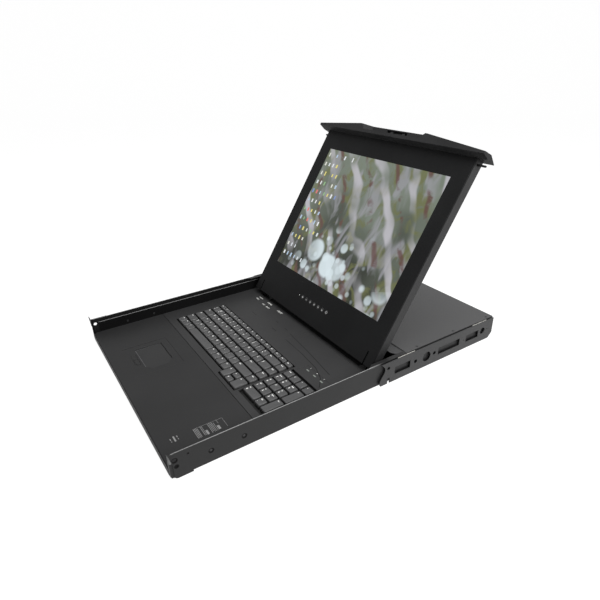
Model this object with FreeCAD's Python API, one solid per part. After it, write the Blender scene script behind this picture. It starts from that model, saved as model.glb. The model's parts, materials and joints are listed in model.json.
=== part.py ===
import FreeCAD, Part
import math
import os

V = FreeCAD.Vector

# Console drawer for a 19 inch rack, one unit high, drawn out with its screen open.
# Millimetres. X is the user's right, Y runs into the rack, Z is up.
# The pieces are drawn with y = 0 at the tray's front and moved so that the
# origin ends up under the middle of the drawer.

# ---- driving dimensions: chassis ----
DEPTH = 654.0            # tray front to connector faces
CHASSIS_W = 439.0        # over the side plates
SHEET = 1.2              # side plates, pan and cover
FLOOR_Z = 1.5            # underside of the pan
TOP_Z = 43.0             # top of plates and cover
PAN_WALL_Z = 34.7        # top of the pan's folded sides
PAN_WALL_Y = 14.0        # where the folded sides begin
DECK_TOP = 13.5          # palm rest and keyboard deck surface
DECK_T = 2.0
DECK_WALL = 2.0
LIP_MARGIN = 3.0         # between front lip and side plates' front flanges
FRONT_FLANGE = 4.0       # inward flange at each side plate's front
SEAM_Y = 140.0           # seam between palm rest and keyboard deck
SEAM_GAP = 0.8
DECK_TO_HINGE = 13.15    # rear edge of the keyboard deck in front of the hinge line
DECK_ARM_PAST = 8.35     # side arms of the deck run on past the hinge line
DECK_ARM_GAP = 3.0       # between hinge bracket and deck arm
FRONT_BEND = 4.5         # outside radius of each side plate's front bend
NOTCH_DEPTH = 4.0        # notches for the hinge brackets

# ---- latch brackets and ears ----
BRACKET_LEN = 31.0
BRACKET_T = 1.2
EAR_REACH = 15.5         # ear beyond the side plate
EAR_DROP = 14.0
BRACKET_SET = 4.5        # bracket below the ear starts this far back
BRACKET_FOOT_R = 5.5
LATCH_Y = 7.7            # latch hole
LATCH_Z = 31.4
LATCH_R = 3.3
LOCK_HOLE_Y = 9.3
LOCK_HOLE_Z = 20.6
LOCK_HOLE_R = 2.2
SMALL_HOLE_Y = 26.4
SMALL_HOLE_Z = 34.6
SMALL_HOLE_R = 1.8
RIVET_RIGHT = (59.0, 109.5)
RIVET_LEFT = (68.4, 122.7)
RIVET_REAR = (172.0, 12.0)   # before the rear panel
RIVET_Z = 20.5
RIVET_SEAT_R = 4.2       # countersink in the plate's outer face
RIVET_HEAD_R = 2.0
RIVET_SHANK_R = 1.6
RIVET_TAIL_R = 2.2
RIVET_TAIL_T = 0.5

# ---- rails ----
RAIL_LEAD = 9.25         # rail's front end before the hinge line
RAIL_SHORT = 4.0         # rail's rear end before the connector faces
RAIL_GAP = 2.5           # side plate to rail web
RAIL_T = 1.5
RAIL_TOP = 42.2
RAIL_LIP = 4.9           # flange under the side plate's edge
RAIL_CLEAR = 0.3         # chassis edge to rail flanges
GLIDE_LEN = 40.0
GLIDE_H = 5.0
GLIDE_CLEAR = 0.3
GLIDE_INSET = 8.0
# openings of the rail: distance behind its front end, height, radius
RAIL_BOLT_Y = (79.4, 126.4)
RAIL_BOLT_Z = 20.8
RAIL_BOLT_R = 3.6
RAIL_MAIN_HOLE = (106.8, 20.3, 9.5)
RAIL_END_HOLE = (257.6, 22.5, 6.5)
RAIL_FRONT_HOLE = (16.0, 30.8, 3.2)
RAIL_PILOT_HOLES = ((204.6, 19.7, 1.0), (271.0, 22.5, 1.0))
RAIL_NOTCH_Y = 17.2
RAIL_NOTCH_W = 5.0
RAIL_NOTCH_H = 10.5
RAIL_DENT = 4.3          # wavy front end: dent above, bulge below
RAIL_DENT_Z = 19.8
RAIL_BULGE = 1.9
RAIL_BULGE_Z = 9.6
WINDOWS = ((30.6, 66.6), (136.1, 192.6), (210.6, 245.1))
WINDOW_Z = 13.5
WINDOW_H = 14.5
RAIL_CHAMFER = 10.0

# ---- keyboard ----
PITCH = 19.0
KEY_GAP = 1.4
KEY_TAPER = 1.6
KEY_TOP = 16.0
KEY_H = 5.6
KEY_TRAVEL = 2.2
STEM = 5.0
STEM_CLEAR = 0.4
STEM_BOTTOM = 5.7
MAIN_X = -178.3
MAIN_Y = 157.0
MAIN_UNITS = 15.0
FUNCTION_D = 13.0
PAD_X = 112.5
PAD_Y = 159.0
PLATE_Z = 6.5
PLATE_T = 1.5
OPENING_CLEAR = 1.2
BAY_DEPTH = 9.0          # arrow keys stand this far in front of the rows
ARROW_UNITS = 3.2
BACKSPACE_UNITS = 2.0
TAB_UNITS = 1.5
CAPS_UNITS = 1.75
ENTER_UNITS = 2.25
SHIFT_UNITS = (1.5, 2.5)
PAD_WELL = (5.0, 4.0)    # number pad's opening beyond its keys, front and rear
DOME_Z = 2.7
DOME_T = 0.6

# ---- pointer pad ----
PAD_C = (-70.0, 73.9)
PAD_SIZE = (75.0, 48.8)
PAD_CORNER = 11.5        # chamfered corners at the right
PAD_RECESS = (-121.0, 28.8, -20.0, 111.8)
PAD_RECESS_D = 0.5
PAD_STEP = 0.8           # pad surface below the recess
PAD_SLOT = 0.4
PAD_HOUSING_T = 1.4      # pad's housing under the palm rest
PAD_HOUSING_RIM = 1.2
BUTTON_C = -74.4
BUTTON_SIZE = (17.7, 8.0)
BUTTON_Y = 37.3
BUTTON_ROUND = 5.5
BUTTON_PROUD = 0.2
BUTTON_LOW = 1.0         # cap reaches below the palm rest's underside
BUTTON_SPLIT = 1.2
BUTTON_TRAVEL = 0.8
BUTTON_CLEAR = 0.4

# ---- indicators on the deck ----
LAMP_X = (129.4, 149.6, 169.8)
LAMP_Y = 278.0
LAMP_SIZE = (7.0, 2.4)
LABEL_FIELD = (117.0, 266.0, 184.0, 286.5)
REAR_FIELD = (20.0, 298.5, 183.0, 352.0)
FIELD_DEPTH = 0.4

# ---- screen ----
LEAN = 32.3              # degrees back from upright as drawn
OPEN_MORE = 12.0         # further back travel
VIEW_TO_LATCH = 30.7     # top of the visible picture to the latch line
HINGE_Z = 31.95
HINGE_V = 13.55          # hinge above the screen's lower end
HINGE_W = 9.85           # hinge behind the bezel's face
SCREEN_SIDE = 17.4       # side plate's inner face to the screen's edge
LATCH_TO_END = 8.1       # latch line to the screen's free end
SCREEN_T = 20.5
BEZEL_T = 3.0
SHELL_T = 2.0
SHELL_CHAMFER = 1.0
VIEW_W = 338.4
VIEW_H = 270.8
VIEW_V = 76.0            # lower edge of the visible picture
VIEW_STEP = 1.2
MODULE_RIM = 7.0
MODULE_T = 11.0
OSD_U = -36.4
OSD_PITCH = 13.65
OSD_COUNT = 7
OSD_V = 39.6
OSD_R = 4.2
OSD_CLEAR = 0.3
OSD_TRAVEL = 0.5
OSD_LAMP_U = -48.5
OSD_LAMP_R = 1.4
OSD_BOARD_LEFT = 8.0
OSD_BOARD_RIGHT = 12.0
OSD_BOARD_HALF = 9.0
OSD_POST = 4.0
BOARD_T = 1.6

# ---- hinges ----
EAR_INSET = 19.9         # hinge ear's middle inside the screen's edge
EAR_T = 2.0
EAR_HEAD_R = 7.0
EAR_W = 14.0
EAR_FOOT = 22.0
FOOT_T = 2.0
SLIT_CLEAR = 0.7
SLIT_V = 24.0
CHEEK_T = 2.4
CHEEK_GAP = 1.0
CHEEK_V0 = 3.0
CHEEK_V1 = 44.0
CHEEK_BACK = 3.5
PIN_R = 3.0
PIN_CLEAR = 0.08
PIN_OVER = 2.5

# ---- front panel on the screen's free end ----
PANEL_OVER = 0.6         # panel wider than the tray with its brackets
PANEL_FRONT_W = 15.5     # reach past the bezel's face
PANEL_RISE = 3.5         # underside slopes out to its front edge
PEAK_U = 91.0
PEAK_T = 20.6
END_T = 7.6
RIDGE_W = -3.0
RIDGE_OUT = 3.6
END_RIDGE_OUT = 2.0
BACK_OUT = 19.0
END_BACK_OUT = 1.0
POCKET_TOP_U = 95.0
POCKET_FOOT_U = 75.0
POCKET_IN_U = 69.0
POCKET_WALL = 10.0
POCKET_FLOOR_W = -2.0
SLOT_HALF = 27.5
SLOT_V0 = 15.8
SLOT_V1 = 21.6

# ---- latch slides ----
TONGUE_R = 1.8
TONGUE_CLEAR = 0.4
TONGUE_GAP = 0.3         # tongue tip to side plate at rest
BAR = 5.0
TAB_U = (12.0, 20.0)
TAB_CLEAR = 0.5
TAB_REACH = 17.6         # height of the tab behind the panel
TIP_REACH = 20.8         # height of its finger tip in the slot
TIP_DEPTH = 4.6
LATCH_PULL = 4.0
LATCH_THROW = 1.5

# ---- rear housing ----
COVER_PAST = 51.35       # cover's front edge behind the hinge line
COVER_CLEAR = 0.6
FLANGE_W = 7.0
FLANGE_LEAD = 32.5       # top flange starts this far before the hinge line
FLANGE_FULL = 21.5       # and has its full width this far before it
FLANGE_CLEAR = 0.2
SCREW_FRONT = 29.0       # first screw behind the cover's front edge
SCREW_REAR = 14.0        # last screw before the rear panel
SCREW_HEAD_R = 2.7
SCREW_HEAD_T = 0.8
SCREW_SHANK_R = 1.5
SCREW_LEN = 5.0
SCREW_IN = 5.5
SHROUD_REACH = 21.5      # shroud in front of the cover's edge
SHROUD_CLEAR = 0.3
SHROUD_CORNER = 13.0
SHROUD_LAP = 15.0
REAR_GAP = 2.0           # connector faces stand this far behind the rear panel
INLET = (-150.0, 27.0, 19.5)
INLET_DEPTH = 24.0
INLET_CLEAR = 0.2
INLET_WALL = 2.0
INLET_WELL = 15.0
INLET_FLANGE = (38.0, 25.0)
BLADE = (2.0, 4.0)
BLADE_PITCH = 7.0
BLADE_LOW = -2.0
BLADE_HIGH = 3.0
BLADE_SET = 6.5          # blade tips behind the mouth
PORT_X = (40.0, 100.0)
PORT_SIZE = (18.0, 9.0)
PORT_FLANGE = (31.0, 12.6)
PORT_FLANGE_T = 0.8
PORT_CLEAR = 0.3
PORT_SLOPE = 1.7
PORT_BODY = 11.0
USB_X = 160.0
USB_SIZE = (12.2, 11.0)
USB_CLEAR = 0.2
USB_RIM = 1.0
USB_WALL = 1.4
USB_BODY = 14.0
USB_WELL = 7.0
CONNECTOR_Z = 21.0
BOARD_Z = 8.0
BOARD_INSET = 6.0
VIDEO_X = 10.0
VIDEO_SIZE = (180.0, 130.0)
VIDEO_BACK = 42.0        # board's rear edge before the rear panel
SUPPLY_X = -190.0
SUPPLY_SIZE = (90.0, 140.0)
SUPPLY_BACK = 42.0
BOSS_R = 3.0
# components as x, y, width, depth, height on their board
SCALER_CHIP = (30.0, 30.0, 40.0, 40.0, 8.0)
KEYBOARD_CHIP = (100.0, 20.0, 25.0, 25.0, 3.0)
PLUG_ROW = (120.0, 80.0, 40.0, 30.0, 12.0)
PLUG_END = (20.0, 95.0, 30.0, 20.0, 14.0)
TRANSFORMER = (8.0, 20.0, 34.0, 40.0, 24.0)
HEAT_SINK = (50.0, 30.0, 30.0, 26.0, 20.0)
BULK_CAP = (15.0, 80.0, 25.0, 25.0, 22.0)
FILTER_COIL = (55.0, 75.0, 25.0, 40.0, 16.0)

HALF = CHASSIS_W / 2
INNER = HALF - SHEET             # inner face of a side plate
PAN_IN = INNER - SHEET           # inner face of the pan's folded side
PAN_TOP = FLOOR_Z + SHEET
REAR_FACE = DEPTH - REAR_GAP
LATCH_V = VIEW_V + VIEW_H + VIEW_TO_LATCH
HINGE_Y = LATCH_V + LATCH_Y - HINGE_V
LATCH_W = HINGE_Z - LATCH_Z - HINGE_W
SCREEN_W = 2 * (INNER - SCREEN_SIDE)
SCREEN_H = LATCH_V + LATCH_TO_END
EAR_U = SCREEN_W / 2 - EAR_INSET
PANEL_W = CHASSIS_W + 2 * BRACKET_T + PANEL_OVER
DECK_REAR = HINGE_Y - DECK_TO_HINGE
COVER_FRONT = HINGE_Y + COVER_PAST
RAIL_FRONT = HINGE_Y - RAIL_LEAD
RAIL_REAR = DEPTH - RAIL_SHORT
SCREW_Y = [COVER_FRONT + SCREW_FRONT + i / 2 * (REAR_FACE - SCREW_REAR - COVER_FRONT - SCREW_FRONT)
           for i in (0, 1, 2)]
RIVET_Y_RIGHT = RIVET_RIGHT + tuple(REAR_FACE - y for y in RIVET_REAR)
RIVET_Y_LEFT = RIVET_LEFT + tuple(REAR_FACE - y for y in RIVET_REAR)
VIDEO_BOARD = (VIDEO_X, REAR_FACE - VIDEO_BACK - VIDEO_SIZE[1], *VIDEO_SIZE)
SUPPLY_BOARD = (SUPPLY_X, REAR_FACE - SUPPLY_BACK - SUPPLY_SIZE[1], *SUPPLY_SIZE)


def box(x0, y0, z0, x1, y1, z1):
    """Box between two corners given in any order of size."""
    lo = [min(a, b) for a, b in ((x0, x1), (y0, y1), (z0, z1))]
    hi = [max(a, b) for a, b in ((x0, x1), (y0, y1), (z0, z1))]
    return Part.makeBox(hi[0] - lo[0], hi[1] - lo[1], hi[2] - lo[2], V(*lo))


def rod(x, y, z, r, length, axis):
    return Part.makeCylinder(r, length, V(x, y, z), V(*axis))


def prism(points, height):
    """Straight extrusion of a closed outline."""
    return Part.Face(Part.makePolygon([V(*p) for p in points + [points[0]]])).extrude(V(*height))


def loft(outlines):
    return Part.makeLoft([Part.makePolygon([V(*p) for p in o + [o[0]]]) for o in outlines], True, True)


def fuse(shapes):
    whole = shapes[0].multiFuse(shapes[1:]) if len(shapes) > 1 else shapes[0]
    return whole.removeSplitter()


def cut(shape, tools):
    return shape.cut(Part.makeCompound(tools)).removeSplitter()


def mirrored(shape):
    return shape.mirror(V(0, 0, 0), V(1, 0, 0))


def place_screen(shape):
    """Screen pieces are drawn as u across, v up the face, w out of the face."""
    out = shape.copy()
    out.translate(V(0, -HINGE_V, HINGE_W))
    out.rotate(V(0, 0, 0), V(1, 0, 0), 90 - LEAN)
    out.translate(V(0, HINGE_Y, HINGE_Z))
    return out


def save(node, shapes):
    solids = shapes if isinstance(shapes, list) else [shapes]
    moved = []
    for solid in solids:
        piece = solid.copy()
        piece.translate(V(0, -DEPTH / 2, 0))
        moved.append(piece)
    whole = moved[0] if len(moved) == 1 else Part.makeCompound(moved)
    whole.exportStep("parts/" + node + ".step")


# ---- base pan: floor, folded sides, front lip, board bosses ----
def boss_spots(board):
    x0, y0, w, d = board
    return [(x0 + i * w + (1 - 2 * i) * BOARD_INSET, y0 + j * d + (1 - 2 * j) * BOARD_INSET)
            for i in (0, 1) for j in (0, 1)]


def make_pan():
    lip_x = HALF - FRONT_FLANGE - SHEET - LIP_MARGIN
    parts = [box(-INNER, SHEET, FLOOR_Z, INNER, REAR_FACE, PAN_TOP),
             box(-lip_x, 0, FLOOR_Z, lip_x, SHEET, DECK_TOP)]
    for side in (-1, 1):
        parts.append(box(side * PAN_IN, PAN_WALL_Y, PAN_TOP, side * INNER, REAR_FACE - SHEET, PAN_WALL_Z))
    for board in (VIDEO_BOARD, SUPPLY_BOARD):
        for x, y in boss_spots(board):
            parts.append(rod(x, y, PAN_TOP, BOSS_R, BOARD_Z - PAN_TOP, (0, 0, 1)))
    return fuse(parts)


def front_bend():
    """Rounded front edge of the right plate, bent inwards into a short flange."""
    r, x0 = FRONT_BEND, HALF - SHEET - FRONT_FLANGE
    height = V(0, 0, TOP_Z - FLOOR_Z - 2 * SHEET)
    outer = Part.makeCylinder(r, height.z, V(HALF - r, r, FLOOR_Z + SHEET), V(0, 0, 1))
    inner = Part.makeCylinder(r - SHEET, height.z, V(HALF - r, r, FLOOR_Z + SHEET), V(0, 0, 1))
    quarter = box(HALF - r, 0, FLOOR_Z + SHEET, HALF, r, TOP_Z - SHEET)
    lip = box(x0, 0, FLOOR_Z + SHEET, HALF - r, SHEET, TOP_Z - SHEET)
    return fuse([outer.cut(inner).common(quarter), lip])


def plate_holes(x, spots):
    return [rod(x, y, z, r, 4 * SHEET, (1, 0, 0)) for y, z, r in spots]


def rivet_seat(y):
    return Part.makeCone(RIVET_SHANK_R, RIVET_SEAT_R, SHEET, V(INNER, y, RIVET_Z), V(1, 0, 0))


def top_flange():
    """Inward flange at the plate's top: a short taper, then full width to the cover."""
    y0, y1 = HINGE_Y - FLANGE_LEAD, HINGE_Y - FLANGE_FULL
    y2 = COVER_FRONT - FLANGE_CLEAR
    z = TOP_Z - SHEET
    return prism([(INNER, y0, z), (INNER, y2, z), (INNER - FLANGE_W, y2, z), (INNER - FLANGE_W, y1, z)],
                 (0, 0, SHEET))


def make_side_plate(rivet_y):
    """Right side plate; the left one is a mirror image with its own rivet places."""
    low_flange = TOP_Z - SHEET - FLANGE_CLEAR
    y2 = COVER_FRONT - FLANGE_CLEAR
    outline = prism([(INNER, FRONT_BEND, FLOOR_Z), (INNER, REAR_FACE, FLOOR_Z),
                     (INNER, REAR_FACE, low_flange), (INNER, y2, low_flange),
                     (INNER, y2, TOP_Z), (INNER, FRONT_BEND, TOP_Z)], (SHEET, 0, 0))
    parts = [outline, front_bend(), top_flange(),
             box(INNER - FLANGE_W, COVER_FRONT, low_flange - SHEET, INNER, REAR_FACE - SHEET, low_flange)]
    # the flange steps down by one sheet under the cover
    parts.append(box(INNER - FLANGE_W, y2 - SHEET, low_flange - SHEET, INNER, y2, TOP_Z - SHEET))
    parts.append(box(INNER - FLANGE_W, y2, low_flange - SHEET, INNER, COVER_FRONT, low_flange))
    holes = plate_holes(INNER - SHEET, [(LATCH_Y, LATCH_Z, LATCH_R)])
    holes += plate_holes(INNER - SHEET, [(y, RIVET_Z, RIVET_SHANK_R) for y in rivet_y])
    holes += [rivet_seat(y) for y in rivet_y]
    holes += [rod(HALF - SCREW_IN, y, low_flange - 2 * SHEET, SCREW_SHANK_R, 4 * SHEET, (0, 0, 1))
              for y in SCREW_Y]
    return cut(fuse(parts), holes)


def make_latch_bracket():
    """Doubler outside the plate's front end, with the rack ear at its front edge."""
    ear_z = TOP_Z - EAR_DROP
    outline = prism([(HALF, BRACKET_SET, 0), (HALF, BRACKET_LEN, 0), (HALF, BRACKET_LEN, TOP_Z),
                     (HALF, 0, TOP_Z), (HALF, 0, ear_z), (HALF, BRACKET_SET, ear_z)], (BRACKET_T, 0, 0))
    foot = [e for e in outline.Edges
            if abs(e.CenterOfMass.y - BRACKET_SET) < 1e-6 and abs(e.CenterOfMass.z) < 1e-6]
    outline = outline.makeFillet(BRACKET_FOOT_R, foot)
    ear = prism([(HALF, 0, TOP_Z), (HALF + EAR_REACH, 0, TOP_Z),
                 (HALF + EAR_REACH, 0, TOP_Z - SHEET), (HALF + BRACKET_T, 0, ear_z),
                 (HALF, 0, ear_z)], (0, BRACKET_T, 0))
    holes = plate_holes(HALF - SHEET, [(LATCH_Y, LATCH_Z, LATCH_R), (LOCK_HOLE_Y, LOCK_HOLE_Z, LOCK_HOLE_R),
                                       (SMALL_HOLE_Y, SMALL_HOLE_Z, SMALL_HOLE_R)])
    return cut(fuse([outline, ear]), holes)


def make_rivet(y):
    """Rivet through plate and pan wall: sunk head outside, small tail inside."""
    sink = SHEET * (RIVET_HEAD_R - RIVET_SHANK_R) / (RIVET_SEAT_R - RIVET_SHANK_R)
    head = Part.makeCone(RIVET_SHANK_R, RIVET_HEAD_R, sink, V(INNER, y, RIVET_Z), V(1, 0, 0))
    shank = rod(PAN_IN, y, RIVET_Z, RIVET_SHANK_R, SHEET, (1, 0, 0))
    tail = rod(PAN_IN - RIVET_TAIL_T, y, RIVET_Z, RIVET_TAIL_R, RIVET_TAIL_T, (1, 0, 0))
    return fuse([head, shank, tail])


# ---- rails fixed to the rack ----
def rail_face():
    """Side outline of the rail: wavy front end, chamfered lower rear corner."""
    x = HALF + RAIL_GAP
    front = [V(x, RAIL_FRONT, RAIL_TOP), V(x, RAIL_FRONT + RAIL_DENT, RAIL_DENT_Z),
             V(x, RAIL_FRONT - RAIL_BULGE, RAIL_BULGE_Z), V(x, RAIL_FRONT, 0)]
    wave = Part.BSplineCurve()
    wave.interpolate(front)
    edges = [wave.toShape()]
    rest = [front[-1], V(x, RAIL_REAR - RAIL_CHAMFER, 0), V(x, RAIL_REAR, RAIL_CHAMFER),
            V(x, RAIL_REAR, RAIL_TOP), front[0]]
    edges += [Part.makeLine(a, b) for a, b in zip(rest, rest[1:])]
    return Part.Face(Part.Wire(edges))


def make_rail():
    x = HALF + RAIL_GAP
    web = rail_face().extrude(V(RAIL_T, 0, 0))
    low = box(x - RAIL_LIP, RAIL_FRONT + BRACKET_LEN + RAIL_T, 0, x, RAIL_REAR - RAIL_CHAMFER,
              FLOOR_Z - RAIL_CLEAR)
    y = RAIL_FRONT
    cuts = [box(x - RAIL_T, y + a, WINDOW_Z, x + 2 * RAIL_T, y + b, WINDOW_Z + WINDOW_H) for a, b in WINDOWS]
    rounds = [RAIL_MAIN_HOLE, RAIL_END_HOLE, RAIL_FRONT_HOLE, *RAIL_PILOT_HOLES]
    rounds += [(a, RAIL_BOLT_Z, RAIL_BOLT_R) for a in RAIL_BOLT_Y]
    cuts += [rod(x - RAIL_T, y + a, z, r, 3 * RAIL_T, (1, 0, 0)) for a, z, r in rounds]
    cuts.append(box(x - RAIL_T, y + RAIL_NOTCH_Y - RAIL_NOTCH_W / 2, -1, x + 2 * RAIL_T,
                    y + RAIL_NOTCH_Y + RAIL_NOTCH_W / 2, RAIL_NOTCH_H))
    return cut(fuse([web, low]), cuts)


def make_glides():
    """Nylon pads on the rail web that bear against the side plate."""
    x0, x1 = HALF + GLIDE_CLEAR, HALF + RAIL_GAP
    pads = []
    for y in (RAIL_FRONT + BRACKET_LEN + GLIDE_INSET, RAIL_REAR - RAIL_CHAMFER - GLIDE_INSET - GLIDE_LEN):
        for z in (FLOOR_Z + 1.5, TOP_Z - GLIDE_H - 1.5):
            pads.append(box(x0, y, z, x1, y + GLIDE_LEN, z + GLIDE_H))
    return pads


# ---- palm rest, pointer pad ----
def pad_outline(grow, z):
    """Rectangle of the pad with its two right-hand corners cut off."""
    a, b = PAD_SIZE[0] / 2 + grow, PAD_SIZE[1] / 2 + grow
    return [(PAD_C[0] + x, PAD_C[1] + y, z) for x, y in
            ((-a, -b), (a - PAD_CORNER, -b), (a, -b + PAD_CORNER), (a, b - PAD_CORNER),
             (a - PAD_CORNER, b), (-a, b))]


def deck_walls(y0, y1):
    x = PAN_IN
    z1 = DECK_TOP - DECK_T
    return [box(-x, y0, PAN_TOP, -x + DECK_WALL, y1, z1), box(x - DECK_WALL, y0, PAN_TOP, x, y1, z1),
            box(-x, y0, PAN_TOP, x, y0 + DECK_WALL, z1)]


def button_outline(side, grow, z, height):
    """One pad button: its outer front corner is rounded."""
    x0 = BUTTON_C + side * (BUTTON_SPLIT / 2 - grow)
    x1 = BUTTON_C + side * (BUTTON_SPLIT / 2 + BUTTON_SIZE[0] + grow)
    y0 = BUTTON_Y - grow
    block = box(x0, y0, z, x1, BUTTON_Y + BUTTON_SIZE[1] + grow, z + height)
    corner = [e for e in block.Edges
              if abs(e.CenterOfMass.x - x1) < 1e-6 and abs(e.CenterOfMass.y - y0) < 1e-6]
    return block.makeFillet(BUTTON_ROUND + grow, corner)


def make_palm_rest():
    y0, y1 = SHEET, SEAM_Y - SEAM_GAP / 2
    x = PAN_IN
    body = fuse([box(-x, y0, DECK_TOP - DECK_T, x, y1, DECK_TOP)] + deck_walls(y0, y1)
                + [box(-x, y1 - DECK_WALL, PAN_TOP, x, y1, DECK_TOP - DECK_T)])
    floor = DECK_TOP - PAD_RECESS_D
    x0, ry0, x1, ry1 = PAD_RECESS
    cuts = [box(x0, ry0, floor, x1, ry1, DECK_TOP + 1),
            prism(pad_outline(PAD_SLOT, DECK_TOP - DECK_T - 1), (0, 0, 2 * DECK_T))]
    cuts += [button_outline(side, BUTTON_CLEAR, DECK_TOP - DECK_T - 1, 2 * DECK_T) for side in (-1, 1)]
    flange_x = HALF - SHEET - FRONT_FLANGE
    cuts += [box(s * flange_x, 0, 0, s * HALF, FRONT_BEND, DECK_TOP + 1) for s in (-1, 1)]
    return cut(body, cuts)


def make_touchpad():
    """Sensing face in the opening, its housing pressed up under the palm rest."""
    low = DECK_TOP - DECK_T
    face = prism(pad_outline(0, low), (0, 0, DECK_T - PAD_RECESS_D - PAD_STEP))
    housing = prism(pad_outline(PAD_HOUSING_RIM, low - PAD_HOUSING_T), (0, 0, PAD_HOUSING_T))
    return fuse([face, housing])


def make_pad_button(side):
    low = DECK_TOP - DECK_T - BUTTON_LOW
    cap = button_outline(side, 0, low, DECK_TOP - PAD_RECESS_D + BUTTON_PROUD - low)
    xm = BUTTON_C + side * (BUTTON_SPLIT + BUTTON_SIZE[0]) / 2
    ym = BUTTON_Y + BUTTON_SIZE[1] / 2
    post = box(xm - STEM / 2, ym - STEM / 2, PAN_TOP + BUTTON_TRAVEL + 0.1, xm + STEM / 2, ym + STEM / 2, low)
    return fuse([cap, post])


# ---- keyboard ----
def row_keys(widths, row, depth=PITCH, x0=MAIN_X, y0=MAIN_Y):
    """Key cells (x, y, width, depth) of one row, widths in key units."""
    cells, x = [], x0
    for units in widths:
        cells.append((x, y0 + row * PITCH, units * PITCH, depth))
        x += units * PITCH
    return cells


ARROW_X = MAIN_X + (MAIN_UNITS - ARROW_UNITS) * PITCH
ARROW_Y = MAIN_Y - BAY_DEPTH
ARROW_D = PITCH + BAY_DEPTH
BOTTOM_WIDTHS = [1.0, 1.0, 1.13]
AFTER_SPACE_COUNT = 4
FUNCTION_COUNT = 15
NUMBER_COUNT = 12
SPACE_UNITS = MAIN_UNITS - ARROW_UNITS - sum(BOTTOM_WIDTHS) - AFTER_SPACE_COUNT
SPACE_X = MAIN_X + sum(BOTTOM_WIDTHS) * PITCH
AFTER_X = SPACE_X + SPACE_UNITS * PITCH
ARROW_COL = (ARROW_UNITS - 2) * PITCH

KEY_GROUPS = {
    "keys_function_row": row_keys([1.0] * FUNCTION_COUNT, 5, FUNCTION_D),
    "keys_number_row": row_keys([1.0] * NUMBER_COUNT, 4) + row_keys([1.0], 4, x0=MAIN_X + 14 * PITCH),
    "key_backspace": row_keys([BACKSPACE_UNITS], 4, x0=MAIN_X + NUMBER_COUNT * PITCH),
    "keys_upper_row": row_keys([TAB_UNITS] + [1.0] * 11 + [TAB_UNITS, 1.0], 3),
    "keys_home_row": row_keys([CAPS_UNITS] + [1.0] * 10, 2) + row_keys([1.0], 2, x0=MAIN_X + 14 * PITCH),
    "key_enter": row_keys([ENTER_UNITS], 2, x0=MAIN_X + (CAPS_UNITS + 10) * PITCH),
    "keys_lower_row": row_keys([SHIFT_UNITS[0]] + [1.0] * 10 + [SHIFT_UNITS[1], 1.0], 1),
    "keys_bottom_row": row_keys(BOTTOM_WIDTHS, 0) + row_keys([1.0] * AFTER_SPACE_COUNT, 0, x0=AFTER_X),
    "key_space": row_keys([SPACE_UNITS], 0, x0=SPACE_X),
    "keys_arrows": [(ARROW_X, ARROW_Y, PITCH, ARROW_D), (ARROW_X + PITCH, ARROW_Y, PITCH, ARROW_D / 2),
                    (ARROW_X + PITCH, ARROW_Y + ARROW_D / 2, PITCH, ARROW_D / 2),
                    (ARROW_X + 2 * PITCH, ARROW_Y, ARROW_COL, ARROW_D)],
    "keys_numpad": sum([row_keys([1.0] * 3, r, x0=PAD_X, y0=PAD_Y) for r in (1, 2, 3, 4)], [])
    + row_keys([1.0], 0, x0=PAD_X + 2 * PITCH, y0=PAD_Y) + row_keys([1.0], 4, x0=PAD_X + 3 * PITCH, y0=PAD_Y),
    "key_numpad_zero": row_keys([2.0], 0, x0=PAD_X, y0=PAD_Y),
    "key_numpad_enter": row_keys([1.0], 0, 2 * PITCH, PAD_X + 3 * PITCH, PAD_Y),
    "key_numpad_plus": row_keys([1.0], 2, 2 * PITCH, PAD_X + 3 * PITCH, PAD_Y),
}


def stem_size(cell):
    return min(STEM, cell[3] - 3 * KEY_GAP)


def make_key(cell):
    """Key cap with tapered sides, its square stem running through the guide plate."""
    x, y, w, d = cell
    g, t = KEY_GAP / 2, KEY_TAPER
    z0, z1 = KEY_TOP - KEY_H, KEY_TOP
    foot = [(x + g, y + g, z0), (x + w - g, y + g, z0), (x + w - g, y + d - g, z0), (x + g, y + d - g, z0)]
    head = [(x + g + t, y + g + t * 0.8, z1), (x + w - g - t, y + g + t * 0.8, z1),
            (x + w - g - t, y + d - g - t * 0.8, z1), (x + g + t, y + d - g - t * 0.8, z1)]
    s = stem_size(cell) / 2
    xm, ym = x + w / 2, y + d / 2
    stem = box(xm - s, ym - s, STEM_BOTTOM, xm + s, ym + s, z0 + 0.5)
    return fuse([loft([foot, head]), stem])


def opening_boxes(z0, z1, grow=0.0):
    """Openings of main block, arrow bay and number pad."""
    c = OPENING_CLEAR + grow
    main_x1 = MAIN_X + MAIN_UNITS * PITCH
    main_y1 = MAIN_Y + 5 * PITCH + FUNCTION_D
    return [box(MAIN_X - c, MAIN_Y - c, z0, main_x1 + c, main_y1 + c, z1),
            box(ARROW_X - c, ARROW_Y - c, z0, main_x1 + c, MAIN_Y + c, z1),
            box(PAD_X - c, PAD_Y - c - PAD_WELL[0], z0,
                PAD_X + 4 * PITCH + c, PAD_Y + 5 * PITCH + c + PAD_WELL[1], z1)]


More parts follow.
